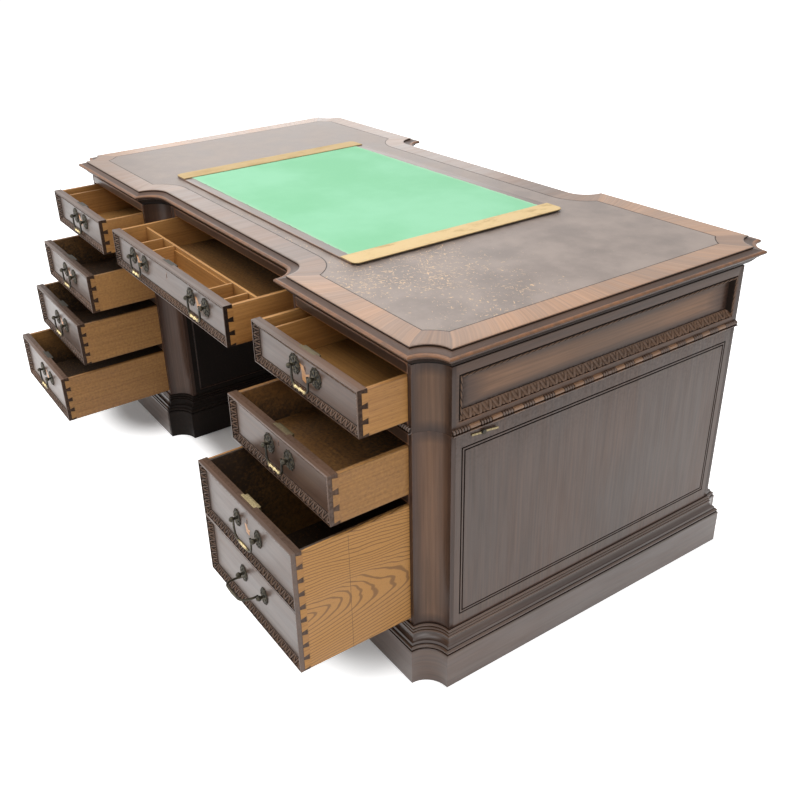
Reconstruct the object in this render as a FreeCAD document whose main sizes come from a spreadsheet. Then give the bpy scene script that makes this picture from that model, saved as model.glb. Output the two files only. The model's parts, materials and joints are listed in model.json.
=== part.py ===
import FreeCAD, Part
import os
import re
from FreeCAD import Placement, Rotation, Vector

# A twin-pedestal partners desk with its drawers as far open as they stand in use.
# Millimetres. +X runs along the desk to the right, -Y is the front, +Z is up.
# The origin is on the floor under the middle of the desk.

SIZES = [
    ("top_length", "1836", "top over its nosing, end to end"),
    ("top_depth", "968", "top over its nosing, front to back"),
    ("desk_height", "775", "floor to writing surface"),
    ("edge_reach", "20", "nosing beyond the flat of the top"),
    ("flat_height", "4", "flat of the top above its edge moulding"),
    ("nosing_height", "23", "edge moulding of the top"),
    ("nosing_bevel", "12", "slope on the upper edge of the moulding"),
    ("cornice_height", "16", "moulding under the top"),
    ("cornice_reach", "14", "moulding under the top, beyond the frieze"),
    ("body_inset", "9", "frieze and pedestals inside the flat of the top"),
    ("corner_scoop", "52", "radius of the hollow corners"),
    ("recess_depth", "58", "middle of each long side behind the wings"),
    ("kneehole_width", "734", "between the pedestals"),
    ("leather_margin", "58", "veneer border round the leather"),
    ("leather_thickness", "2", "leather of the writing surface"),
    ("leather_fit", "0.2", "leather clear of the edge of its bed"),
    ("frieze_height", "141", "frieze under the top"),
    ("frieze_rail", "21.5", "rails above and below the frieze drawers"),
    ("frieze_end", "12", "panel in each end of the frieze"),
    ("end_sink", "15", "end panel behind the face of its frame"),
    ("centre_stile", "26", "stile at each side of the centre drawer"),
    ("astragal_height", "13", "bead along the foot of the frieze"),
    ("astragal_reach", "8", "bead beyond the face of the frieze"),
    ("post_width", "62", "corner posts, each way"),
    ("side_board", "22", "side boards and dividers"),
    ("partition", "16", "board between front and back"),
    ("cover_board", "18", "top board of a pedestal"),
    ("shelf", "16", "shelf of a cupboard"),
    ("plinth_height", "131", "floor to the top of the plinth mouldings"),
    ("plinth_band", "87", "plain band of the plinth"),
    ("plinth_reach", "23", "plinth beyond the pedestal"),
    ("sill_height", "11", "sill under the lowest drawer"),
    ("rail_height", "23", "rail between two drawers"),
    ("head_rail", "29", "rail above the upper drawer"),
    ("runner_width", "20", "runner under a drawer's side"),
    ("guide_height", "30", "guide beside a drawer"),
    ("drawer_gap", "1", "drawer clear of the sides and top of its opening"),
    ("runner_gap", "0.3", "drawer above its runners"),
    ("drawer_end_gap", "12", "closed drawer short of the partition"),
    ("front_thickness", "22", "drawer front"),
    ("panel_rim", "16", "applied moulding round a frieze drawer's sunk panel"),
    ("panel_sink", "10", "sunk panels behind the face of their mouldings"),
    ("side_thickness", "11", "drawer sides and back"),
    ("side_drop", "3", "drawer sides below the top of the front"),
    ("bottom_thickness", "7", "drawer bottom"),
    ("bottom_lift", "6", "drawer bottom above the lower edge of the sides"),
    ("lath_thickness", "7", "laths that divide a drawer"),
    ("lath_height", "74", "laths above the drawer bottom"),
    ("lath_back", "68", "long lath behind the centre drawer's front"),
    ("side_tray_width", "32", "narrow tray at the left of a frieze drawer"),
    ("tray_height", "30", "pen tray block"),
    ("tray_hollow", "27", "radius of the pen tray's cove"),
    ("left_frieze_open", "129", "left frieze drawer pulled out"),
    ("left_upper_open", "189", "left upper drawer pulled out"),
    ("left_middle_open", "240", "left middle drawer pulled out"),
    ("left_lower_open", "314", "left lower drawer pulled out"),
    ("centre_open", "183", "centre drawer pulled out"),
    ("right_frieze_open", "108", "right frieze drawer pulled out"),
    ("right_upper_open", "178", "right upper drawer pulled out"),
    ("right_deep_open", "263", "right deep drawer pulled out"),
    ("handle_spacing", "80", "post to post of a handle"),
    ("handle_lift", "6", "handle posts above the middle of a frieze drawer's front"),
    ("centre_handle_offset", "179", "handles of the centre drawers from the middle"),
    ("plate_radius", "15", "rounded ends of a rosette plate"),
    ("plate_height", "44", "rosette plate of a handle"),
    ("plate_thickness", "3", "rosette plate"),
    ("post_radius", "4", "post of a handle"),
    ("post_length", "10.5", "post of a handle, to its pivot"),
    ("head_radius", "6", "round head of a handle's post"),
    ("bail_wire", "3", "radius of a bail"),
    ("bail_drop", "36", "bail from its pivot to the grip"),
    ("bail_corner", "14", "bend of a bail"),
    ("bail_rise", "3", "bail above its pivot"),
    ("bail_gap", "0.3", "bail clear of its posts"),
    ("deep_plate_radius", "10", "rounded ends of the deep drawer's leaf plates"),
    ("deep_plate_height", "34", "leaf plate of the deep drawer's handles"),
    ("deep_spacing", "90", "post to post on the deep drawer"),
    ("raised_angle", "95", "lower handle of the deep drawer lifted, in degrees"),
    ("lock_width", "56", "drawer lock"),
    ("lock_height", "34", "drawer lock"),
    ("lock_depth", "9", "drawer lock"),
    ("door_thickness", "22", "cupboard door"),
    ("door_rim", "56", "frame of a cupboard door"),
    ("knuckle_radius", "4", "hinge knuckle"),
    ("knuckle_gap", "0.3", "hinge knuckle clear of what it turns past"),
    ("hinge_leaf", "9", "width of a hinge leaf"),
    ("hinge_leaf_thickness", "2", "hinge leaf"),
    ("hinge_height", "64", "whole hinge"),
    ("knob_radius", "9", "door knob"),
    ("knob_reach", "20", "door knob"),
    ("catch_back", "328", "pivot of the catch in front of the middle of the end"),
    ("catch_drop", "14", "pivot of the catch below the frieze"),
    ("catch_plate", "28", "length of the catch's fixed plate"),
    ("catch_bar", "34", "length of the catch's hook"),
    ("catch_width", "6", "width of the catch's plate and hook"),
    ("catch_thickness", "2.5", "plate and hook of the catch"),
    ("catch_pin", "2.5", "radius of the catch's pivot"),
    ("catch_eye", "5", "radius of the hook's eye"),
    ("catch_fit", "0.08", "hook's eye round its pivot"),
    ("blotter_length", "940", "blotter over its end strips"),
    ("blotter_width", "606", "blotter front to back"),
    ("blotter_board", "5", "blotter board"),
    ("blotter_right", "-10", "blotter to the right of the middle"),
    ("blotter_back", "-20", "blotter behind the middle"),
    ("paper_thickness", "0.6", "blotting paper"),
    ("paper_margin", "24", "board beside the paper"),
    ("strip_width", "58", "end strip of the blotter"),
    ("strip_thickness", "3", "end strip of the blotter"),
    ("strip_corner", "16", "rounded corners of an end strip"),
    ("overrun", "5", "cuts beyond the faces they open"),
]
# Heights (from, to) and reach of the plinth's moulded steps, of the moulding's own height and reach.
PLINTH_STEP_SHARES = ((0.0, 0.34, 0.82), (0.34, 0.7, 0.5), (0.7, 1.0, 0.18))
# Openings of the lower, middle and upper drawer, of the height that a pedestal's rails leave free.
ROW_SHARES = (137 / 374, 126 / 374, 111 / 374)
# Moulding round a pedestal drawer's sunk panel, of the upper drawer's opening.
RIM_SHARE = 16 / 111
# Handle posts above the middle of a pedestal drawer, of what the upper one's panel leaves free over a plate.
LIFT_SHARE = 6 / 17.5
# Cross partitions of the centre drawer, of its width, from its middle.
CROSS_SHARES = (-0.31, -0.197, 0.295, 0.41)

doc = FreeCAD.newDocument("PartnersDesk")
sheet = doc.addObject("Spreadsheet::Sheet", "sizes")
for row, (alias, value, meaning) in enumerate(SIZES, start=1):
    sheet.set(f"A{row}", meaning)
    sheet.set(f"B{row}", value)
    sheet.setAlias(f"B{row}", alias)
doc.recompute()

ALIASES = re.compile(r"\b(" + "|".join(alias for alias, value, meaning in SIZES) + r")\b")
FRONT, BACK = -1, 1
nodes = {}


def sized(text):
    """An expression with each size in it read from the sheet."""
    return ALIASES.sub(r"sizes.\1", str(text))


def place(solid, x, y, z):
    """Puts a solid's own origin at a point given by expressions."""
    for axis, text in zip("xyz", (x, y, z)):
        solid.setExpression(f"Placement.Base.{axis}", sized(text))
    return solid


def board(name, x, y, z):
    """A rectangular board; each direction is a (low, high) pair of expressions."""
    solid = doc.addObject("Part::Box", name)
    for side, (low, high) in zip(("Length", "Width", "Height"), (x, y, z)):
        solid.setExpression(side, sized(f"({high}) - ({low})"))
    return place(solid, x[0], y[0], z[0])


def round_bar(name, radius, length, turn, x, y, z):
    """A round bar that starts at a point; turn takes it from upright to its direction."""
    solid = doc.addObject("Part::Cylinder", name)
    solid.setExpression("Radius", sized(radius))
    solid.setExpression("Height", sized(length))
    solid.Placement = Placement(Vector(), turn)
    return place(solid, x, y, z)


def upright(name, radius, x, y, z):
    """An upright round bar between two heights."""
    return round_bar(name, radius, f"({z[1]}) - ({z[0]})", Rotation(), x, y, z[0])


def fused(name, solids):
    """One solid from several that meet."""
    result = doc.addObject("Part::MultiFuse", name)
    result.Shapes = solids
    return result


def cut(name, base, tools):
    """A solid with the tools taken out of it."""
    result = doc.addObject("Part::Cut", name)
    result.Base = base
    result.Tool = tools[0] if len(tools) == 1 else fused(f"{name}_tools", tools)
    return result


def common(name, base, tool):
    """What two solids share."""
    result = doc.addObject("Part::Common", name)
    result.Base = base
    result.Tool = tool
    return result


def node(name, solids):
    """A named piece of the desk, as one group of its separate solids."""
    result = doc.addObject("Part::Compound", name)
    result.Links = solids
    result.Label = name
    result.Placement = Placement()
    nodes[name] = result
    return result


def outward(side, near, far):
    """The (low, high) pair in Y between two distances from the desk's middle, towards one side."""
    return (f"-({far})", f"-({near})") if side == FRONT else (near, far)


def facing(side):
    """The turn that points an upright bar out of the front or the back."""
    return Rotation(Vector(1, 0, 0), 90 if side == FRONT else -90)


def past(pair):
    """A (low, high) pair carried past both faces that it opens."""
    return f"({pair[0]}) - overrun", f"({pair[1]}) + overrun"


# Lines of the desk that several pieces share.
FLAT_X = "(top_length / 2 - edge_reach)"
FLAT_Y = "(top_depth / 2 - edge_reach)"
BODY_X = f"({FLAT_X} - body_inset)"
BODY_Y = f"({FLAT_Y} - body_inset)"
KNEE_X = "(kneehole_width / 2)"
TOP_FOOT = "(desk_height - flat_height - nosing_height - cornice_height)"
JOINT = f"({TOP_FOOT} - frieze_height)"
POST_X = f"({BODY_X} - post_width)"
POST_Y = f"({BODY_Y} - post_width)"
INNER_POST_X = f"({KNEE_X} + post_width)"
RECESS_X = f"({KNEE_X} + corner_scoop - recess_depth)"
RECESS_Y = f"({BODY_Y} - recess_depth)"
RECESS_BACK = f"({RECESS_Y} - post_width)"
CENTRE_X = f"({RECESS_X} - centre_stile)"
HALF_PARTITION = "(partition / 2)"
END_INNER = f"({BODY_X} - end_sink - frieze_end)"
DIVIDER_FAR = f"({KNEE_X} + side_board)"
SILL = "(plinth_height + sill_height)"
UPPER_HEAD = f"({JOINT} - head_rail)"
DRAWER_ROOM = f"({UPPER_HEAD} - {SILL} - 2 * rail_height)"
LOWER_HEAD = f"({SILL} + {DRAWER_ROOM} * {ROW_SHARES[0]})"
MIDDLE_FOOT = f"({LOWER_HEAD} + rail_height)"
MIDDLE_HEAD = f"({MIDDLE_FOOT} + {DRAWER_ROOM} * {ROW_SHARES[1]})"
UPPER_DRAWER = f"({DRAWER_ROOM} * {ROW_SHARES[2]})"
UPPER_FOOT = f"({UPPER_HEAD} - {UPPER_DRAWER})"
CASE_RIM = f"({RIM_SHARE} * {UPPER_DRAWER})"
CASE_LIFT = f"({LIFT_SHARE} * ({UPPER_DRAWER} / 2 - {CASE_RIM} - plate_height / 2))"

FRIEZE_ROW = (f"({JOINT} + frieze_rail)", f"({TOP_FOOT} - frieze_rail)")
UPPER_ROW = (UPPER_FOOT, UPPER_HEAD)
MIDDLE_ROW = (MIDDLE_FOOT, MIDDLE_HEAD)
LOWER_ROW = (SILL, LOWER_HEAD)
DEEP_ROW = (LOWER_ROW[0], MIDDLE_ROW[1])
LEFT_ROWS = (LOWER_ROW, MIDDLE_ROW, UPPER_ROW)
RIGHT_ROWS = (DEEP_ROW, UPPER_ROW)
COLUMNS = {
    "left": (f"-{POST_X}", f"-{INNER_POST_X}"),
    "centre": (f"-{CENTRE_X}", CENTRE_X),
    "right": (INNER_POST_X, POST_X),
}


def mirrored(sign, pair):
    """A (low, high) pair on the right of the desk, or its mirror image on the left."""
    return pair if sign > 0 else (f"-({pair[1]})", f"-({pair[0]})")


def winged(name, margin, z, widened="0"):
    """A slab with the outline of the top, a margin inside the flat's edge.

    Its four corners are hollowed, and the middle of each long side stands back
    behind the wings, with a quarter hollow at each end of the recess. The hollows
    of the leather are widened by its margin, so that the border keeps its width.
    """
    half_x = f"({FLAT_X} - ({margin}))"
    half_y = f"({FLAT_Y} - ({margin}))"
    recess_x = f"({RECESS_X} - body_inset + ({margin}) - ({widened}))"
    slab = board(f"{name}_slab", (f"-{half_x}", half_x), (f"-{half_y}", half_y), z)
    tools = []
    for side in (FRONT, BACK):
        recess = outward(side, f"{half_y} - recess_depth", f"{half_y} + overrun")
        tools.append(board(f"{name}_recess", (f"-{recess_x}", recess_x), recess, past(z)))
        for sign in (-1, 1):
            corner_x = f"{sign} * ({half_x} + {widened})"
            corner_y = f"{side} * ({half_y} + {widened})"
            hollow_x = f"{sign} * {recess_x}"
            corner = upright(f"{name}_scoop", f"corner_scoop + {widened}", corner_x, corner_y, past(z))
            hollow = upright(f"{name}_hollow", f"recess_depth + {widened}", hollow_x, corner_y, past(z))
            tools += [corner, hollow]
    return cut(name, slab, tools)


def hollow_post(name, x, y, z, corner_x, corner_y, radius):
    """A post whose outer corner is hollowed to a radius."""
    block = board(f"{name}_block", x, y, z)
    return cut(name, block, [upright(f"{name}_hollow", radius, corner_x, corner_y, past(z))])


def make_top():
    """Moulded top with a bed for the leather, and the leather in it."""
    surface = ("desk_height - flat_height", "desk_height")
    nosing = ("desk_height - flat_height - nosing_height", "desk_height - flat_height")
    cornice = (TOP_FOOT, f"{TOP_FOOT} + cornice_height")
    flat = winged("top_flat", "0", surface)
    edge = winged("top_nosing", "-edge_reach", nosing)
    under = winged("top_cornice", "body_inset - cornice_reach", cornice)
    doc.recompute()
    bevelled = doc.addObject("Part::Chamfer", "top_nosing_bevelled")
    bevelled.Base = edge
    upper = edge.Shape.BoundBox.ZMax
    bevelled.Edges = [
        (index, sheet.nosing_bevel, sheet.nosing_bevel)
        for index, line in enumerate(edge.Shape.Edges, start=1)
        if line.BoundBox.ZMin > upper - sheet.nosing_bevel
    ]
    bed_height = ("desk_height - leather_thickness", "desk_height + overrun")
    bed = winged("leather_bed", "leather_margin", bed_height, "leather_margin")
    blank = fused("top_blank", [flat, bevelled, under])
    node("top_board", [cut("top_bedded", blank, [bed])])
    sheet_height = ("desk_height - leather_thickness", "desk_height")
    sheet_margin = "(leather_margin + leather_fit)"
    node("leather_top", [winged("leather_sheet", sheet_margin, sheet_height, sheet_margin)])


def make_frieze():
    """Frame under the top: posts, rails, sunk ends, dividers, partitions and beads."""
    whole = (JOINT, TOP_FOOT)
    low_rail = (JOINT, FRIEZE_ROW[0])
    high_rail = (FRIEZE_ROW[1], TOP_FOOT)
    bead = (JOINT, f"{JOINT} + astragal_height")
    wing_flat = (f"{KNEE_X} + corner_scoop", f"{BODY_X} - corner_scoop")
    pieces = []
    for sign in (-1, 1):
        end_x = mirrored(sign, (END_INNER, BODY_X))
        panel_x = mirrored(sign, (END_INNER, f"{BODY_X} - end_sink"))
        between_posts = (f"-{POST_Y}", POST_Y)
        for rail in (low_rail, high_rail):
            pieces.append(board("end_rail", end_x, between_posts, rail))
        pieces.append(board("end_panel", panel_x, between_posts, FRIEZE_ROW))
        bead_x = mirrored(sign, (BODY_X, f"{BODY_X} + astragal_reach"))
        bead_y = f"{BODY_Y} - corner_scoop"
        pieces.append(board("end_bead", bead_x, (f"-({bead_y})", bead_y), bead))
        divider_x = mirrored(sign, (KNEE_X, DIVIDER_FAR))
        pieces.append(board("divider", divider_x, (f"-{RECESS_BACK}", RECESS_BACK), whole))
        partition_x = mirrored(sign, (DIVIDER_FAR, END_INNER))
        pieces.append(board("wing_partition", partition_x, (f"-{HALF_PARTITION}", HALF_PARTITION), whole))
        for side in (FRONT, BACK):
            corner_y = f"{side} * {BODY_Y}"
            outer_y = outward(side, POST_Y, BODY_Y)
            outer_x = mirrored(sign, (POST_X, BODY_X))
            pieces.append(hollow_post("frieze_post", outer_x, outer_y, whole,
                                      f"{sign} * {BODY_X}", corner_y, "corner_scoop"))
            inner_x = mirrored(sign, (RECESS_X, INNER_POST_X))
            inner_y = outward(side, RECESS_BACK, BODY_Y)
            pieces.append(hollow_post("wing_post", inner_x, inner_y, whole,
                                      f"{sign} * {RECESS_X}", corner_y, "recess_depth"))
            stile_x = mirrored(sign, (CENTRE_X, RECESS_X))
            pieces.append(board("centre_stile", stile_x, outward(side, RECESS_BACK, RECESS_Y), whole))
            wing_x = mirrored(sign, (INNER_POST_X, POST_X))
            for rail in (low_rail, high_rail):
                pieces.append(board("wing_rail", wing_x, outer_y, rail))
            front_bead = outward(side, BODY_Y, f"{BODY_Y} + astragal_reach")
            pieces.append(board("wing_bead", mirrored(sign, wing_flat), front_bead, bead))
    for side in (FRONT, BACK):
        for rail in (low_rail, high_rail):
            rail_y = outward(side, RECESS_BACK, RECESS_Y)
            pieces.append(board("centre_rail", COLUMNS["centre"], rail_y, rail))
        centre_bead = outward(side, RECESS_Y, f"{RECESS_Y} + astragal_reach")
        pieces.append(board("centre_bead", (f"-{RECESS_X}", RECESS_X), centre_bead, bead))
    partition_y = (f"-{HALF_PARTITION}", HALF_PARTITION)
    pieces.append(board("centre_partition", (f"-{KNEE_X}", KNEE_X), partition_y, whole))
    node("frieze_frame", pieces)


def make_pedestal(name, sign, rows):
    """Pedestal case: posts, sides, rails at the heights of its drawers, cupboard behind."""
    whole = ("plinth_height", JOINT)
    inside = (SILL, f"{JOINT} - cover_board")
    side_y = (f"-{POST_Y}", POST_Y)
    hollow_x = mirrored(sign, (DIVIDER_FAR, f"{BODY_X} - side_board"))
    opening_x = mirrored(sign, (INNER_POST_X, POST_X))
    pieces = [
        board("outer_side", mirrored(sign, (f"{BODY_X} - side_board", BODY_X)), side_y, whole),
        board("knee_side", mirrored(sign, (KNEE_X, DIVIDER_FAR)), side_y, whole),
        board("bottom", hollow_x, side_y, ("plinth_height", SILL)),
        board("cover", hollow_x, side_y, (f"{JOINT} - cover_board", JOINT)),
        board("partition_board", hollow_x, (f"-{HALF_PARTITION}", HALF_PARTITION), inside),
    ]
    shelf_z = (f"({SILL} + {UPPER_HEAD} - shelf) / 2", f"({SILL} + {UPPER_HEAD} + shelf) / 2")
    pieces.append(board("cupboard_shelf", hollow_x, (HALF_PARTITION, f"{POST_Y} - shelf"), shelf_z))
    for side in (FRONT, BACK):
        face_y = outward(side, POST_Y, BODY_Y)
        for near, far, corner in ((KNEE_X, INNER_POST_X, KNEE_X), (POST_X, BODY_X, BODY_X)):
            pieces.append(hollow_post(f"{name}_post", mirrored(sign, (near, far)), face_y, whole,
                                      f"{sign} * {corner}", f"{side} * {BODY_Y}", "corner_scoop"))
        pieces.append(board("sill", opening_x, face_y, ("plinth_height", SILL)))
        pieces.append(board("head_rail", opening_x, face_y, (UPPER_HEAD, JOINT)))
    for lower, upper in zip(rows, rows[1:]):
        pieces.append(board("drawer_rail", opening_x, outward(FRONT, POST_Y, BODY_Y), (lower[1], upper[0])))
    node(name, pieces)


def plinth_frame(name, sign):
    """Plinth of one pedestal: a band and moulded steps round a hollow, in four lengths."""
    steps = [("0", "plinth_band", "plinth_reach")]
    moulding = "(plinth_height - plinth_band)"
    for low_share, high_share, reach_share in PLINTH_STEP_SHARES:
        steps.append((f"plinth_band + {low_share} * {moulding}", f"plinth_band + {high_share} * {moulding}",
                      f"{reach_share} * plinth_reach"))
    layers = []
    for low, high, reach in steps:
        x = mirrored(sign, (f"{KNEE_X} - ({reach})", f"{BODY_X} + ({reach})"))
        y = (f"-({BODY_Y} + {reach})", f"{BODY_Y} + {reach}")
        slab = board(f"{name}_slab", x, y, (low, high))
        scoops = [upright(f"{name}_scoop", "corner_scoop", corner_x, corner_y, past((low, high)))
                  for corner_x in x for corner_y in y]
        layers.append(cut(f"{name}_layer", slab, scoops))
    hollow_x = mirrored(sign, (INNER_POST_X, POST_X))
    hollow_y = (f"-{POST_Y}", POST_Y)
    height = ("0", "plinth_height")
    hollow = board(f"{name}_hollow", hollow_x, hollow_y, past(height))
    ring = cut(f"{name}_ring", fused(f"{name}_stack", layers), [hollow])
    reach_x = mirrored(sign, (f"{KNEE_X} - plinth_reach", f"{BODY_X} + plinth_reach"))
    lengths = []
    for side in (FRONT, BACK):
        room_y = outward(side, POST_Y, f"{BODY_Y} + plinth_reach")
        room = board(f"{name}_face_room", reach_x, room_y, height)
        lengths.append(common(f"{name}_face", ring, room))
    for x in ((reach_x[0], hollow_x[0]), (hollow_x[1], reach_x[1])):
        lengths.append(common(f"{name}_return", ring, board(f"{name}_return_room", x, hollow_y, height)))
    return lengths


def runner_pair(near_x, far_x, column, side, foot, start, on_bottom):
    """Runner and guide at each side of a drawer, from behind the posts to the partition."""
    length = outward(side, HALF_PARTITION, start)
    pieces = []
    low, high = column
    for wall, edge, inward in ((near_x, low, 1), (far_x, high, -1)):
        guide_x = (wall, edge) if inward > 0 else (edge, wall)
        pieces.append(board("guide", guide_x, length, (foot, f"{foot} + guide_height")))
        if not on_bottom:
            under = f"{edge} + {inward} * runner_width"
            runner_x = (wall, under) if inward > 0 else (under, wall)
            pieces.append(board("runner", runner_x, length, (f"{foot} - frieze_rail", foot)))
    return pieces


def make_runners():
    """All drawer runners and guides."""
    pieces = []
    frieze_foot = FRIEZE_ROW[0]
    for side in (FRONT, BACK):
        for sign, name in ((-1, "left"), (1, "right")):
            walls = mirrored(sign, (DIVIDER_FAR, END_INNER))
            pieces += runner_pair(*walls, COLUMNS[name], side, frieze_foot, RECESS_BACK, False)
        walls = (f"-{KNEE_X}", KNEE_X)
        pieces += runner_pair(*walls, COLUMNS["centre"], side, frieze_foot, RECESS_BACK, False)
    for sign, name, rows in ((-1, "left", LEFT_ROWS), (1, "right", RIGHT_ROWS)):
        walls = mirrored(sign, (DIVIDER_FAR, f"{BODY_X} - side_board"))
        for number, (foot, head) in enumerate(rows):
            pieces += runner_pair(*walls, COLUMNS[name], FRONT, foot, POST_Y, number == 0)
    node("drawer_runners", pieces)


def bail_shape(spacing):
    """A bail hanging from its pivot axis, which runs along X through its own origin."""
    half = spacing / 2 - sheet.head_radius - sheet.bail_gap - sheet.bail_wire
    bend = sheet.bail_corner
    foot = -sheet.bail_drop
    middle = bend * (1 - 0.5 ** 0.5)
    path = Part.Wire([
        Part.LineSegment(Vector(-half, 0, sheet.bail_rise), Vector(-half, 0, foot + bend)).toShape(),
        Part.Arc(Vector(-half, 0, foot + bend), Vector(-half + middle, 0, foot + middle),
                 Vector(-half + bend, 0, foot)).toShape(),
        Part.LineSegment(Vector(-half + bend, 0, foot), Vector(half - bend, 0, foot)).toShape(),
        Part.Arc(Vector(half - bend, 0, foot), Vector(half - middle, 0, foot + middle),
                 Vector(half, 0, foot + bend)).toShape(),
        Part.LineSegment(Vector(half, 0, foot + bend), Vector(half, 0, sheet.bail_rise)).toShape(),
    ])
    start = Part.Circle(Vector(-half, 0, sheet.bail_rise), Vector(0, 0, 1), sheet.bail_wire).toShape()
    return path.makePipeShell([Part.Wire([start])], True, False)


def make_bail(name, spacing, x, y, z, raised):
    """A swinging bail; the raised one stands out from the front by the raised angle."""
    bail = doc.addObject("Part::Feature", name)
    bail.Shape = bail_shape(spacing)
    bail.Label = name
    bail.Placement = Placement(Vector(), Rotation(Vector(-1, 0, 0), sheet.raised_angle if raised else 0))
    nodes[name] = place(bail, x, y, z)


def rosette(name, side, plate, x, face, z):
    """Long plate with round ends, and the post and round head on which one end of a bail turns."""
    turn = facing(side)
    foot = f"{side} * ({face})"
    radius, height = f"{plate}_radius", f"{plate}_height"
    lobe = f"({height} / 2 - {radius})"
    pieces = [board(f"{name}_plate", (f"{x} - {radius}", f"{x} + {radius}"),
                    outward(side, face, f"{face} + plate_thickness"), (f"{z} - {lobe}", f"{z} + {lobe}"))]
    for end in (-1, 1):
        end_z = f"{z} + {end} * {lobe}"
        pieces.append(round_bar(f"{name}_lobe", radius, "plate_thickness", turn, x, foot, end_z))
    reach = "plate_thickness + post_length"
    pieces.append(round_bar(f"{name}_post", "post_radius", reach, turn, x, foot, z))
    head = doc.addObject("Part::Sphere", f"{name}_head")
    head.setExpression("Radius", sized("head_radius"))
    pieces.append(place(head, x, f"{side} * ({face} + {reach})", z))
    return fused(name, pieces)


def panelled(name, x, y_of, face, thickness, rim, z, panels):
    """A board with applied mouldings that leave a sunk panel in each (low, high) height given."""
    proud = y_of(f"{face} - panel_sink", face)
    inner_x = (f"{x[0]} + {rim}", f"{x[1]} - {rim}")
    pieces = [board(f"{name}_board", x, y_of(f"{face} - {thickness}", f"{face} - panel_sink"), z)]
    for low, high in panels:
        foot, head = f"{low} + {rim}", f"{high} - {rim}"
        pieces += [
            board(f"{name}_left_moulding", (x[0], inner_x[0]), proud, (low, high)),
            board(f"{name}_right_moulding", (inner_x[1], x[1]), proud, (low, high)),
            board(f"{name}_foot_moulding", inner_x, proud, (low, foot)),
            board(f"{name}_head_moulding", inner_x, proud, (head, high)),
        ]
    return pieces


def drawer_box(name, x, y_of, face, depth, z):
    """Two sides, a back and a bottom behind a front."""
    inner_x = (f"{x[0]} + side_thickness", f"{x[1]} - side_thickness")
    head = f"{z[1]} - side_drop"
    root = f"{face} - front_thickness"
    end = f"{face} - {depth}"
    full = y_of(end, root)
    back = y_of(end, f"{end} + side_thickness")
    bottom = y_of(f"{end} + side_thickness", root)
    bottom_z = (f"{z[0]} + bottom_lift", f"{z[0]} + bottom_lift + bottom_thickness")
    return [
        board(f"{name}_left", (x[0], inner_x[0]), full, (z[0], head)),
        board(f"{name}_right", (inner_x[1], x[1]), full, (z[0], head)),
        board(f"{name}_back", inner_x, back, (z[0], head)),
        board(f"{name}_bottom", inner_x, bottom, bottom_z),
    ]


def centre_fittings(x, y_of, face, z):
    """Long lath, cross partitions and coved pen tray of the centre drawer."""
    inner_x = (f"{x[0]} + side_thickness", f"{x[1]} - side_thickness")
    floor = f"{z[0]} + bottom_lift + bottom_thickness"
    height = (floor, f"{floor} + lath_height")
    root = f"{face} - front_thickness"
    lath = y_of(f"{root} - lath_back - lath_thickness", f"{root} - lath_back")
    between = y_of(f"{root} - lath_back", root)
    pieces = [board("long_lath", inner_x, lath, height)]
    places = [f"{share} * ({x[1]} - ({x[0]}))" for share in CROSS_SHARES]
    for at in places:
        cross_x = (f"{at} - lath_thickness / 2", f"{at} + lath_thickness / 2")
        pieces.append(board("cross_lath", cross_x, between, height))
    tray_x = (f"{places[1]} + lath_thickness / 2", f"{places[2]} - lath_thickness / 2")
    tray_top = f"{floor} + tray_height"
    block = board("pen_tray_block", tray_x, between, (floor, tray_top))
    middle = y_of(f"{root} - lath_back / 2", f"{root} - lath_back / 2")[0]
    cove = round_bar("pen_tray_cove", "tray_hollow", f"{tray_x[1]} - ({tray_x[0]}) + 2 * overrun",
                     Rotation(Vector(0, 1, 0), 90), f"{tray_x[0]} - overrun", middle, tray_top)
    pieces.append(cut("pen_tray", block, [cove]))
    return pieces


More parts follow.
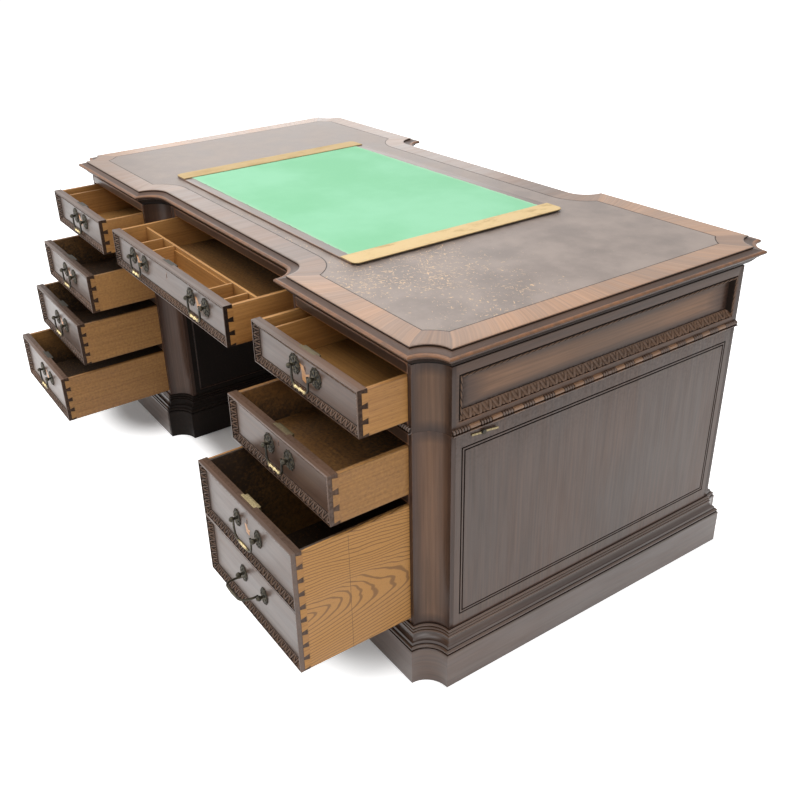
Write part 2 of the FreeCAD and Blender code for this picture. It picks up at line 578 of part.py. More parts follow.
def make_drawer(name, column, side, row, opened, handles, panels=None, side_tray=False):
    """A drawer with its fittings and bails, pulled out by a size of the sheet."""
    rim = "panel_rim" if row == FRIEZE_ROW else CASE_RIM
    low, high = COLUMNS[column]
    x = (f"{low} + drawer_gap", f"{high} - drawer_gap")
    z = (f"{row[0]} + runner_gap", f"{row[1]} - drawer_gap")
    plane = RECESS_Y if column == "centre" else BODY_Y
    face = f"({plane} + {opened})"
    depth = f"({plane} - {HALF_PARTITION} - drawer_end_gap)"

    def y_of(near, far):
        return outward(side, near, far)

    front = panelled(name, x, y_of, face, "front_thickness", rim, z, panels or [z])
    box = drawer_box(name, x, y_of, face, depth, z)
    if side == FRONT and column == "centre":
        box += centre_fittings(x, y_of, face, z)
    if side_tray:
        floor = f"{z[0]} + bottom_lift + bottom_thickness"
        edge = f"{x[0]} + side_thickness + side_tray_width"
        tray_x = (edge, f"{edge} + lath_thickness")
        run = y_of(f"{face} - {depth} + side_thickness", f"{face} - front_thickness")
        box.append(board("tray_lath", tray_x, run, (floor, f"{floor} + lath_height")))
    if side == FRONT:
        node(f"{name}_front", front)
        node(f"{name}_box", box)
    else:
        node(f"{name}_drawer", front + box)

    middle = f"({x[0]} + ({x[1]})) / 2"
    lock_x = (f"{middle} - lock_width / 2", f"{middle} + lock_width / 2")
    lock_y = y_of(f"{face} - front_thickness - lock_depth", f"{face} - front_thickness")
    lock_z = (f"{z[1]} - side_drop - lock_height", f"{z[1]} - side_drop")
    brass = [board(f"{name}_lock", lock_x, lock_y, lock_z)]
    panel = f"{face} - panel_sink"
    for number, (offset, height, spacing, plate, raised) in enumerate(handles):
        at = f"{middle} + {offset}"
        for end in (-1, 1):
            post_x = f"{at} + {end} * {spacing} / 2"
            brass.append(rosette(f"{name}_rosette", side, plate, post_x, panel, height))
        suffix = f"_bail_{number + 1}" if len(handles) > 1 else "_bail"
        pivot = f"{side} * ({panel} + plate_thickness + post_length)"
        make_bail(f"{name}{suffix}", getattr(sheet, spacing), at, pivot, height, raised)
    node(f"{name}_brass", brass)


def one_handle(row):
    """A rosette handle in the middle of a drawer's width."""
    lift = "handle_lift" if row == FRIEZE_ROW else CASE_LIFT
    return [("0", f"({row[0]} + {row[1]}) / 2 + {lift}", "handle_spacing", "plate", False)]


def two_handles(row):
    """A rosette handle near each end of a wide drawer."""
    height = f"({row[0]} + {row[1]}) / 2 + handle_lift"
    return [(offset, height, "handle_spacing", "plate", False)
            for offset in ("-centre_handle_offset", "centre_handle_offset")]


def make_drawers():
    """Eight drawers on the front and three in the back of the frieze."""
    for column in ("left", "right"):
        frieze_handle = one_handle(FRIEZE_ROW)
        make_drawer(f"{column}_frieze", column, FRONT, FRIEZE_ROW, f"{column}_frieze_open",
                    frieze_handle, side_tray=True)
        make_drawer(f"{column}_upper", column, FRONT, UPPER_ROW, f"{column}_upper_open",
                    one_handle(UPPER_ROW))
        make_drawer(f"back_{column}", column, BACK, FRIEZE_ROW, "0", frieze_handle)
    make_drawer("left_middle", "left", FRONT, MIDDLE_ROW, "left_middle_open", one_handle(MIDDLE_ROW))
    make_drawer("left_lower", "left", FRONT, LOWER_ROW, "left_lower_open", one_handle(LOWER_ROW))
    make_drawer("centre", "centre", FRONT, FRIEZE_ROW, "centre_open", two_handles(FRIEZE_ROW))
    make_drawer("back_centre", "centre", BACK, FRIEZE_ROW, "0", two_handles(FRIEZE_ROW))
    false_fronts = [
        (f"{LOWER_ROW[0]} + runner_gap", f"{LOWER_ROW[1]} + rail_height / 2"),
        (f"{MIDDLE_ROW[0]} - rail_height / 2", f"{MIDDLE_ROW[1]} - drawer_gap"),
    ]
    handles = []
    for (low, high), raised in zip(reversed(false_fronts), (False, True)):
        handles.append(("0", f"({low} + {high}) / 2 + {CASE_LIFT}", "deep_spacing", "deep_plate", raised))
    make_drawer("right_deep", "right", FRONT, DEEP_ROW, "right_deep_open", handles, panels=false_fronts)


def hinge_half(name, sign, leaf_x, z):
    """Half a hinge: a knuckle on the door's axis and a leaf on the face beside it."""
    knuckle = upright(f"{name}_knuckle", "knuckle_radius", f"{sign} * {POST_X}",
                      f"{BODY_Y} + knuckle_radius + knuckle_gap", z)
    leaf = board(f"{name}_leaf", mirrored(sign, leaf_x), (BODY_Y, f"{BODY_Y} + hinge_leaf_thickness"), z)
    web_x = mirrored(sign, (f"{POST_X} - hinge_leaf_thickness / 2", f"{POST_X} + hinge_leaf_thickness / 2"))
    web_y = (f"{BODY_Y} + knuckle_gap", f"{BODY_Y} + knuckle_radius")
    return fused(name, [knuckle, leaf, board(f"{name}_web", web_x, web_y, z)])


def make_doors():
    """Cupboard doors in the back, their brass, and the brass fixed to the case."""
    fixed = []
    for sign, name in ((-1, "left"), (1, "right")):
        low, high = COLUMNS[name]
        x = (f"{low} + drawer_gap", f"{high} - drawer_gap")
        z = (f"{SILL} + drawer_gap", f"{UPPER_HEAD} - drawer_gap")

        def y_of(near, far):
            return outward(BACK, near, far)

        node(f"{name}_door", panelled(f"{name}_door", x, y_of, BODY_Y, "door_thickness", "door_rim", z, [z]))
        brass = []
        for end_z in (f"{z[0]} + hinge_height", f"{z[1]} - 2 * hinge_height"):
            half_z = (end_z, f"{end_z} + hinge_height / 2 - knuckle_gap")
            upper_z = (f"{end_z} + hinge_height / 2", f"{end_z} + hinge_height")
            case_x = (POST_X, f"{POST_X} + hinge_leaf")
            door_x = (f"{POST_X} - drawer_gap - hinge_leaf", f"{POST_X} - drawer_gap / 2")
            fixed.append(hinge_half(f"{name}_case_hinge", sign, case_x, half_z))
            brass.append(hinge_half(f"{name}_door_hinge", sign, door_x, upper_z))
        knob_x = f"{sign} * ({INNER_POST_X} + drawer_gap + door_rim / 2)"
        middle_z = f"({z[0]} + {z[1]}) / 2"
        brass.append(round_bar(f"{name}_knob", "knob_radius", "knob_reach", facing(BACK),
                               knob_x, BODY_Y, middle_z))
        door_edge = f"{INNER_POST_X} + drawer_gap"
        lock_x = mirrored(sign, (door_edge, f"{door_edge} + lock_width"))
        lock_y = (f"{BODY_Y} - door_thickness - lock_depth", f"{BODY_Y} - door_thickness")
        brass.append(board(f"{name}_door_lock", lock_x, lock_y,
                           (f"{middle_z} - lock_height / 2", f"{middle_z} + lock_height / 2")))
        node(f"{name}_door_brass", brass)
    return fixed


def make_catch():
    """Catch on the right end: a plate with a pivot, and a hook that turns on it."""
    axis_y = "-catch_back"
    axis_z = f"{JOINT} - catch_drop"
    across = Rotation(Vector(0, 1, 0), 90)
    plate_x = (BODY_X, f"{BODY_X} + catch_thickness")
    high = (f"{axis_z} - catch_width / 2", f"{axis_z} + catch_width / 2")
    plate = board("catch_leaf", plate_x, (f"{axis_y} - catch_plate", axis_y), high)
    boss = round_bar("catch_boss", "catch_eye", "catch_thickness", across, BODY_X, axis_y, axis_z)
    pin_length = "2 * catch_thickness + knuckle_gap"
    pin = round_bar("catch_pin_bar", "catch_pin", pin_length, across, BODY_X, axis_y, axis_z)
    fixed = fused("catch_fixed", [plate, boss, pin])
    hook_x = (f"{BODY_X} + catch_thickness + knuckle_gap", f"{BODY_X} + 2 * catch_thickness + knuckle_gap")
    eye = round_bar("catch_eye_disc", "catch_eye", "catch_thickness", across, hook_x[0], axis_y, axis_z)
    bar = board("catch_bar_blank", hook_x, (axis_y, f"{axis_y} + catch_bar"), high)
    hole = round_bar("catch_hole", "catch_pin + catch_fit", "catch_thickness + 2 * overrun", across,
                     f"{hook_x[0]} - overrun", axis_y, axis_z)
    node("catch_hook", [cut("catch_hook_bar", fused("catch_hook_blank", [eye, bar]), [hole])])
    return fixed


def make_blotter():
    """Blotter lying on the leather: board, paper and an end strip at each side."""
    half_y = "blotter_width / 2"
    y = (f"blotter_back - {half_y}", f"blotter_back + {half_y}")
    inner = "(blotter_length / 2 - strip_width)"
    board_top = "desk_height + blotter_board"
    edge = "(blotter_length / 2 - strip_corner)"
    board_x = (f"blotter_right - {edge}", f"blotter_right + {edge}")
    base = board("blotter_base", board_x, y, ("desk_height", board_top))
    node("blotter_board", [base])
    paper_x = (f"blotter_right - {inner}", f"blotter_right + {inner}")
    paper_y = (f"{y[0]} + paper_margin", f"{y[1]} - paper_margin")
    node("blotter_paper", [board("paper", paper_x, paper_y, (board_top, f"{board_top} + paper_thickness"))])
    strips = []
    for sign in (-1, 1):
        def across(near, far):
            low, high = mirrored(sign, (near, far))
            return f"blotter_right + ({low})", f"blotter_right + ({high})"
        strip_top = f"{board_top} + strip_thickness"
        end_z = ("desk_height", strip_top)
        inset_y = (f"{y[0]} + strip_corner", f"{y[1]} - strip_corner")
        pieces = [
            board("strip_inner", across(inner, edge), y, (board_top, strip_top)),
            board("strip_outer", across(edge, "blotter_length / 2"), inset_y, end_z),
        ]
        for corner_y in inset_y:
            corner_x = f"blotter_right + {sign} * {edge}"
            pieces.append(upright("strip_round", "strip_corner", corner_x, corner_y, end_z))
        strips.append(cut("strip", fused("strip_blank", pieces), [base]))
    node("blotter_strips", strips)


make_top()
make_frieze()
make_pedestal("left_pedestal", -1, LEFT_ROWS)
make_pedestal("right_pedestal", 1, RIGHT_ROWS)
node("plinths", plinth_frame("left_plinth", -1) + plinth_frame("right_plinth", 1))
make_runners()
make_drawers()
node("case_brass", make_doors() + [make_catch()])
make_blotter()

doc.recompute()
for item in doc.Objects:
    if {"Invalid", "Error"} & set(item.State):
        raise RuntimeError(f"{item.Name} failed: {item.State}")
for name, item in nodes.items():
    if item.Shape.isNull() or not item.Shape.isValid():
        raise RuntimeError(f"{name} has no sound shape")

os.makedirs("parts", exist_ok=True)
for name, item in nodes.items():
    item.Shape.exportStep(f"parts/{name}.step")
print(len(nodes), "pieces written")
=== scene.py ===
# %% [markdown]
# A partners desk is a writing table for two people who sit face to face, with drawers for each of them. The
# measured model gives the place and size of every piece and says how each one moves. This lesson gives the
# pieces their carving, wear and finish. Each look is a surface worked out with numpy round its node.

# %% Load the measured model
import json

import bmesh
import bpy
import numpy as np
from mathutils import Matrix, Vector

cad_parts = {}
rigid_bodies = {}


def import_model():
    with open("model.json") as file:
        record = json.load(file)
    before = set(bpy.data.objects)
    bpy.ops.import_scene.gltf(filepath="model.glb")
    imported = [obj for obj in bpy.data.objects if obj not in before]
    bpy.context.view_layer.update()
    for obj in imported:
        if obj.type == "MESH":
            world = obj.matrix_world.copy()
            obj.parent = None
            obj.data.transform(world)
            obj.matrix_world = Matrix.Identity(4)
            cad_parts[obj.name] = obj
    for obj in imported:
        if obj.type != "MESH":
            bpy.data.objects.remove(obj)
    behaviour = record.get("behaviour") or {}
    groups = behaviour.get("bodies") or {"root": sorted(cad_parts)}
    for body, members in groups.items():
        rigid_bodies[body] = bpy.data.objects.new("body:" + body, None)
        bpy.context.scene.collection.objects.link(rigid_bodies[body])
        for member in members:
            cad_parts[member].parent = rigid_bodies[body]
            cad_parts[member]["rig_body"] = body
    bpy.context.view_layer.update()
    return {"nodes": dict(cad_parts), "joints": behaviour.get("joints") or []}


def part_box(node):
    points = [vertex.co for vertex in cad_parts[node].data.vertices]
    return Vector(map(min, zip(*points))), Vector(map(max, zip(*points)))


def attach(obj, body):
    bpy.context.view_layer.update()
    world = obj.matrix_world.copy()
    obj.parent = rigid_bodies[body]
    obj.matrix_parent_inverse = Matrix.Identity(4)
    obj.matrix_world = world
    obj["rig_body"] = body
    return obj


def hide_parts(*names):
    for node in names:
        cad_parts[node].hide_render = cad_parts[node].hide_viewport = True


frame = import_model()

MM = 0.001
NODES = frame["nodes"]
JOINTS = {joint["child"]: joint for joint in frame["joints"]}

# %% [markdown]
# The desk was photographed from above its right front corner, in an even light on a white ground. The
# camera was solved from corners that can be measured, so its place, turn and lens are plain numbers here.
# The picture is a crop, so its middle isn't the lens's middle: the lens shift says by how much.

# %% Camera
IMAGE_WIDTH = 800
FOCAL_PIXELS = 924.853
LENS_MIDDLE = (358.378, 381.477)
SENSOR = 36.0
CAMERA_PLACE = (2.01991, -1.31512, 1.46608)
YAW, PITCH, ROLL = 1.006043, 0.480944, -0.041799

look = np.array([-np.sin(YAW) * np.cos(PITCH), np.cos(YAW) * np.cos(PITCH), -np.sin(PITCH)])
level = np.cross(look, (0, 0, 1))
level /= np.linalg.norm(level)
rise = np.cross(level, look)
right = np.cos(ROLL) * level + np.sin(ROLL) * rise
upward = np.cos(ROLL) * rise - np.sin(ROLL) * level

lens = bpy.data.cameras.new("camera")
lens.sensor_width = SENSOR
lens.lens = FOCAL_PIXELS / IMAGE_WIDTH * SENSOR
lens.shift_x = 0.5 - LENS_MIDDLE[0] / IMAGE_WIDTH
lens.shift_y = LENS_MIDDLE[1] / IMAGE_WIDTH - 0.5
camera = bpy.data.objects.new("camera", lens)
pose = np.eye(4)
pose[:3, :] = np.column_stack([right, upward, -look, CAMERA_PLACE])
camera.matrix_world = Matrix(pose.tolist())
bpy.context.scene.collection.objects.link(camera)
bpy.context.scene.camera = camera
bpy.context.scene.view_settings.view_transform = "Standard"
print("lens", round(lens.lens, 2), "mm")

# %% [markdown]
# Every finish here is a tree of shader nodes. These helpers make a node, set or link its inputs and give
# back an output, so that each finish further down reads as a short list of steps.


# %% Shader helpers
def feed(tree, socket, value):
    """Links a socket to another one, or sets it to a constant."""
    if isinstance(value, bpy.types.NodeSocket):
        tree.links.new(value, socket)
    else:
        socket.default_value = value


def add_node(tree, kind, inputs, **settings):
    """A shader node with its settings and inputs."""
    item = tree.nodes.new(kind)
    for key, value in settings.items():
        setattr(item, key, value)
    for key, value in inputs.items():
        feed(tree, item.inputs[key], value)
    return item


def sum_of(tree, operation, first, second=0.0, clamp=False):
    """One arithmetic step."""
    item = add_node(tree, "ShaderNodeMath", {0: first, 1: second}, operation=operation, use_clamp=clamp)
    return item.outputs[0]


def vector_step(tree, operation, first, second=(0, 0, 0)):
    """One step of arithmetic on vectors."""
    return add_node(tree, "ShaderNodeVectorMath", {0: first, 1: second}, operation=operation)


def ramp(tree, value, start, end, low=0.0, high=1.0):
    """A smooth step from low to high as the value goes from start to end."""
    inputs = {"Value": value, "From Min": start, "From Max": end, "To Min": low, "To Max": high}
    return add_node(tree, "ShaderNodeMapRange", inputs, interpolation_type="SMOOTHSTEP").outputs[0]


def blend(tree, share, first, second, mode="MIX"):
    """Two colours mixed by a share."""
    inputs = {0: share, 6: first, 7: second}
    return add_node(tree, "ShaderNodeMix", inputs, data_type="RGBA", blend_type=mode).outputs[2]


def noise(tree, vector, stretch, detail=2.0, roughness=0.5):
    """Cloudy noise; stretch is how many clouds there are to a metre in each direction."""
    scaled = vector_step(tree, "MULTIPLY", vector, stretch).outputs[0]
    inputs = {"Vector": scaled, "Scale": 1.0, "Detail": detail, "Roughness": roughness}
    return add_node(tree, "ShaderNodeTexNoise", inputs).outputs["Fac"]


def attribute(tree, name, output="Fac"):
    """A value stored at the points of the mesh."""
    return add_node(tree, "ShaderNodeAttribute", {}, attribute_name=name).outputs[output]


def new_group(name, inputs, outputs):
    """An empty shader group with its sockets, each given as a name and a kind."""
    group = bpy.data.node_groups.new(name, "ShaderNodeTree")
    for direction, sockets in (("INPUT", inputs), ("OUTPUT", outputs)):
        for socket, kind in sockets:
            group.interface.new_socket(socket, in_out=direction, socket_type=f"NodeSocket{kind}")
    return group, group.nodes.new("NodeGroupInput"), group.nodes.new("NodeGroupOutput")


def use_group(tree, group, inputs):
    """A group placed in a tree."""
    item = tree.nodes.new("ShaderNodeGroup")
    item.node_tree = group
    for key, value in inputs.items():
        feed(tree, item.inputs[key], value)
    return item


def new_material(name, roughness=0.5, metallic=0.0):
    """A material with one principled shader, and its tree."""
    material = bpy.data.materials.new(name)
    material.use_nodes = True
    tree = material.node_tree
    shader = tree.nodes["Principled BSDF"]
    shader.inputs["Roughness"].default_value = roughness
    shader.inputs["Metallic"].default_value = metallic
    return material, tree, shader


def bump(tree, shader, height, distance, strength=1.0):
    """Fine relief on a shader."""
    inputs = {"Height": height, "Distance": distance, "Strength": strength}
    feed(tree, shader.inputs["Normal"], add_node(tree, "ShaderNodeBump", inputs).outputs[0])


print("shader helpers ready")

# %% [markdown]
# The ground is a wide pale floor in a white room, as in a studio with a paper roll. The room is full white
# where the camera or a polish sees it, and dim as light. Most of the light falls from a wide lit ceiling:
# it draws bright lines along the mouldings and leaves the drawers dark inside. Weaker lamps stand to the
# left of the fronts, off the right end and low behind, where they gleam on the top. The floor glows for the
# camera in the open, so that it is white there and keeps its shadows below the drawers and in the kneehole.

# %% Room
ROOM_LEVEL = 0.2


def is_seen(tree):
    """One where the camera, a polish or a glass looks at the surface, nought where it only gives light."""
    rays = add_node(tree, "ShaderNodeLightPath", {})
    seen = sum_of(tree, "MAXIMUM", rays.outputs["Is Camera Ray"], rays.outputs["Is Glossy Ray"])
    return sum_of(tree, "MAXIMUM", seen, rays.outputs["Is Transmission Ray"])


world = bpy.data.worlds.new("studio")
world.use_nodes = True
bpy.context.scene.world = world
room = world.node_tree
ambient = room.nodes["Background"]
ambient.inputs["Color"].default_value = (1, 1, 1, 1)
feed(room, ambient.inputs["Strength"], ramp(room, is_seen(room), 0.0, 1.0, ROOM_LEVEL, 1.0))
print("room lit at", ROOM_LEVEL)

# %% Floor
FLOOR_SIZE = 40.0
FLOOR_COLOUR = (0.93, 0.93, 0.93, 1)
GLOW = 0.9
SHADE_MIDDLE, SHADE_OVAL = (0.63, 0.46, 0), (1 / 0.2, 1 / 0.14, 0)
SHADE_EDGE, SHADE_LEAST = (0.5, 1.3), 0.1
OPEN_SIDE, OPEN_FRONT = (0.84, 0.95), (0.37, 0.47)

floor_mesh = bpy.data.meshes.new("floor")
half_floor = FLOOR_SIZE / 2
floor_mesh.from_pydata([(-half_floor, -half_floor, 0), (half_floor, -half_floor, 0),
                        (half_floor, half_floor, 0), (-half_floor, half_floor, 0)], [], [(0, 1, 2, 3)])
floor = bpy.data.objects.new("floor", floor_mesh)
bpy.context.scene.collection.objects.link(floor)
floor_paint, floor_tree, floor_shader = new_material("floor", roughness=1.0)
floor_shader.inputs["Base Color"].default_value = FLOOR_COLOUR
floor_shader.inputs["Specular IOR Level"].default_value = 0.0
floor_shader.inputs["Emission Color"].default_value = (1, 1, 1, 1)
floor_place = add_node(floor_tree, "ShaderNodeTexCoord", {}).outputs["Object"]
aside = vector_step(floor_tree, "ABSOLUTE", floor_place).outputs[0]
from_shade = vector_step(floor_tree, "SUBTRACT", aside, SHADE_MIDDLE).outputs[0]
oval = vector_step(floor_tree, "MULTIPLY", from_shade, SHADE_OVAL).outputs[0]
away = vector_step(floor_tree, "LENGTH", oval).outputs["Value"]
floor_axes = add_node(floor_tree, "ShaderNodeSeparateXYZ", {0: aside}).outputs
in_front = sum_of(floor_tree, "MINIMUM", ramp(floor_tree, floor_axes[1], *OPEN_FRONT),
                  ramp(floor_tree, away, *SHADE_EDGE, SHADE_LEAST))
open_floor = sum_of(floor_tree, "MAXIMUM", in_front, ramp(floor_tree, floor_axes[0], *OPEN_SIDE))
glow = sum_of(floor_tree, "MULTIPLY", open_floor, GLOW)
glow = sum_of(floor_tree, "MULTIPLY", is_seen(floor_tree), glow)
feed(floor_tree, floor_shader.inputs["Emission Strength"], glow)
floor_mesh.materials.append(floor_paint)
print("floor", FLOOR_SIZE, "m wide")

# %% Lamps
LAMPS = {"ceiling": (130.0, 4.4, (-0.2, -0.5, 3.6), (-0.2, -0.5, 0.0)),
         "left_front": (50.0, 2.6, (-2.0, -3.0, 2.2), (0.0, -0.4, 0.4)),
         "right_end": (42.0, 2.6, (3.6, -1.0, 2.2), (0.8, 0.0, 0.4)),
         "back_left": (20.0, 2.6, (-3.6, 2.0, 1.6), (-0.4, 0.1, 0.7))}

for name, (power, size, place, aim) in LAMPS.items():
    lamp = bpy.data.lights.new(name, "AREA")
    lamp.energy = power
    lamp.size = size
    stand = bpy.data.objects.new(name, lamp)
    stand.location = place
    beam = np.subtract(aim, place)
    tilt = np.arctan2(np.hypot(beam[0], beam[1]), -beam[2])
    stand.rotation_euler = (tilt, 0, np.arctan2(beam[1], beam[0]) - np.pi / 2)
    bpy.context.scene.collection.objects.link(stand)
print("lamps", len(LAMPS))

# %% [markdown]
# Wood shows where it lay in its tree: each board carries a grain place at its points, with the first
# direction along the fibres. Rings are equal distances from the heart of the log, pores are short dark
# dashes along the fibres. One group works both out for mahogany and oak alike.

# %% Figure of a board
RING_PITCH = 7 * MM
figure_group, figure_in, figure_out = new_group(
    "board_figure", [("Grain", "Vector")],
    [("Rings", "Float"), ("Streaks", "Float"), ("Pores", "Float"), ("Cloud", "Float")])
grain_in = figure_in.outputs["Grain"]
cloud = noise(figure_group, grain_in, (2.5, 9, 9), detail=3)
drift = sum_of(figure_group, "MULTIPLY", sum_of(figure_group, "SUBTRACT", cloud, 0.5), 0.05)
parts = add_node(figure_group, "ShaderNodeSeparateXYZ", {0: grain_in}).outputs
side_way = sum_of(figure_group, "ADD", parts[1], drift)
depth_way = sum_of(figure_group, "ADD", parts[2], drift)
from_heart = sum_of(figure_group, "SQRT", sum_of(
    figure_group, "ADD", sum_of(figure_group, "MULTIPLY", side_way, side_way),
    sum_of(figure_group, "MULTIPLY", depth_way, depth_way)))
wave = sum_of(figure_group, "SINE", sum_of(figure_group, "MULTIPLY", from_heart, 2 * np.pi / RING_PITCH))
rings = sum_of(figure_group, "MULTIPLY_ADD", wave, 0.5)
rings.node.inputs[2].default_value = 0.5
feed(figure_group, figure_out.inputs["Rings"], rings)
feed(figure_group, figure_out.inputs["Streaks"], noise(figure_group, grain_in, (5, 190, 190), detail=3))
dashes = noise(figure_group, grain_in, (70, 1300, 1300), detail=1)
feed(figure_group, figure_out.inputs["Pores"], ramp(figure_group, dashes, 0.60, 0.74))
feed(figure_group, figure_out.inputs["Cloud"], cloud)
print("group", figure_group.name)

# %% [markdown]
# A century of dusting and knees rubs the polish off the arrises, and leaves dirt in every quirk. The points
# of each mesh say where an edge can wear and where it is dark; noise breaks both into patches. The dark mark
# is
# dirt, and it is also painted shade: in the kneehole, inside the drawers, under the nosing and below the
# frieze.

# %% Wear, dirt and painted shade
aging_and_shade_group, aging_and_shade_in, aging_and_shade_out = new_group(
    "wear_and_dirt", [("Place", "Vector"), ("Wear", "Float"), ("Dirt", "Float")],
    [("Worn", "Float"), ("Grime", "Float")])
patches = noise(aging_and_shade_group, aging_and_shade_in.outputs["Place"], (55, 55, 55), detail=4, roughness=0.65)
rubbed = sum_of(aging_and_shade_group, "MULTIPLY", aging_and_shade_in.outputs["Wear"], sum_of(aging_and_shade_group, "ADD", patches, 0.42))
feed(aging_and_shade_group, aging_and_shade_out.inputs["Worn"], ramp(aging_and_shade_group, rubbed, 0.45, 0.95))
dust = noise(aging_and_shade_group, aging_and_shade_in.outputs["Place"], (160, 160, 160), detail=2)
gathered = sum_of(aging_and_shade_group, "MULTIPLY", aging_and_shade_in.outputs["Dirt"], sum_of(aging_and_shade_group, "ADD", dust, 0.5))
feed(aging_and_shade_group, aging_and_shade_out.inputs["Grime"], ramp(aging_and_shade_group, gathered, 0.1, 0.95))
print("group", aging_and_shade_group.name)

# %% [markdown]
# The case wood is old mahogany under a worn polish: dark brown, paler where sun and hands faded it, orange
# where it is bare. A tone at each point runs from dark over faded to bare, and the figure darkens it. The
# polish is a coat of its own over the wood, worn on the sides of the desk, dull on the posts, and dirt and
# painted shade hide it.

# %% Mahogany
MAHOGANY_DARK = (0.052, 0.027, 0.018, 1)
MAHOGANY_FADED = (0.30, 0.158, 0.082, 1)
MAHOGANY_BARE = (0.62, 0.29, 0.10, 1)
WORN_EDGE = (0.34, 0.14, 0.055, 1)
# Dirt and painted shade both take the wood and the metal towards this near black.
BLACK_DIRT_AND_SHADE = (0.010, 0.008, 0.007, 1)

WOOD_IOR, COAT_ROUGHNESS = 1.2, 0.3
THIN_PATCHES = (7, 60, 60)
WORN_SHARE, GRIME_SHARE = 0.75, 0.94
FILLED_PORE = 0.015 * MM


def mahogany_finish(name, polish_ior, polish):
    """Mahogany under a coat of polish, which is whole at 1 and gone at 0; soiling and painted shade hide it.
    """
    material, tree, shader = new_material(name)
    shader.inputs["IOR"].default_value = WOOD_IOR
    shader.inputs["Coat IOR"].default_value = polish_ior
    shader.inputs["Coat Roughness"].default_value = COAT_ROUGHNESS
    grain, tone = attribute(tree, "grain", "Vector"), attribute(tree, "tone")
    wear, dirt = attribute(tree, "wear"), attribute(tree, "dirt")
    figure = use_group(tree, figure_group, {"Grain": grain})
    place = add_node(tree, "ShaderNodeTexCoord", {}).outputs["Object"]
    aging_and_shade = use_group(tree, aging_and_shade_group, {"Place": place, "Wear": wear, "Dirt": dirt})
    colour = blend(tree, ramp(tree, tone, 0.0, 1.0), MAHOGANY_DARK, MAHOGANY_FADED)
    colour = blend(tree, ramp(tree, tone, 1.0, 2.0), colour, MAHOGANY_BARE)
    shade = ramp(tree, figure.outputs["Streaks"], 0.25, 0.75, 0.80, 1.19)
    shade = sum_of(tree, "MULTIPLY", shade, ramp(tree, figure.outputs["Cloud"], 0.25, 0.75, 0.78, 1.22))
    shade = sum_of(tree, "MULTIPLY", shade, ramp(tree, figure.outputs["Pores"], 0.0, 1.0, 1.0, 0.94))
    grey = add_node(tree, "ShaderNodeCombineColor", {0: shade, 1: shade, 2: shade}).outputs[0]
    colour = blend(tree, 1.0, colour, grey, mode="MULTIPLY")
    colour = blend(tree, sum_of(tree, "MULTIPLY", aging_and_shade.outputs["Worn"], WORN_SHARE), colour, WORN_EDGE)
    colour = blend(tree, sum_of(tree, "MULTIPLY", aging_and_shade.outputs["Grime"], GRIME_SHARE), colour, BLACK_DIRT_AND_SHADE)
    feed(tree, shader.inputs["Base Color"], colour)
    thin = ramp(tree, noise(tree, grain, THIN_PATCHES, detail=4, roughness=0.6), 0.35, 0.7, 1.0, 0.82)
    coat = sum_of(tree, "MULTIPLY", thin, ramp(tree, aging_and_shade.outputs["Grime"], 0.0, 0.7, polish, 0.0))
    feed(tree, shader.inputs["Coat Weight"], coat)
    feed(tree, shader.inputs["Roughness"], ramp(tree, figure.outputs["Cloud"], 0.3, 0.7, 0.4, 0.6))
    bump(tree, shader, sum_of(tree, "SUBTRACT", 1.0, figure.outputs["Pores"]), FILLED_PORE)
    return material


mahogany = mahogany_finish("mahogany", polish_ior=1.57, polish=1.0)
worn_mahogany = mahogany_finish("mahogany_worn", polish_ior=1.525, polish=0.8)
dull_mahogany = mahogany_finish("mahogany_dull", polish_ior=1.42, polish=0.6)
print("materials", mahogany.name, worn_mahogany.name, dull_mahogany.name)

# %% [markdown]
# Drawer boxes are oak that was never polished. It is golden and fine, with dark pores, browner where
# fingers and dust reach it, and painted dark where it lies in shade. A board sawn near the bark shows its
# rings as arches, so the tone of oak says how clear they are. The runners inside the case are the same wood,
# but no point of the measured model knows its grain, so their finish reads the object's own coordinates
# instead.

# %% Oak
OAK_LIGHT = (0.49, 0.242, 0.068, 1)
OAK_RING = (0.31, 0.136, 0.034, 1)
OAK_PORE = (0.17, 0.075, 0.026, 1)
# Handling, dirt and painted shade take the oak towards this dark brown.
OAK_DIRT_AND_SHADE = (0.028, 0.017, 0.011, 1)
OAK_LATE = (0.17, 0.075, 0.024, 1)
RING_SHARE = 0.75
OPEN_PORE = 0.10 * MM
RUNNER_WEAR, RUNNER_DIRT, RUNNER_TONE = 0.0, 0.35, 0.0


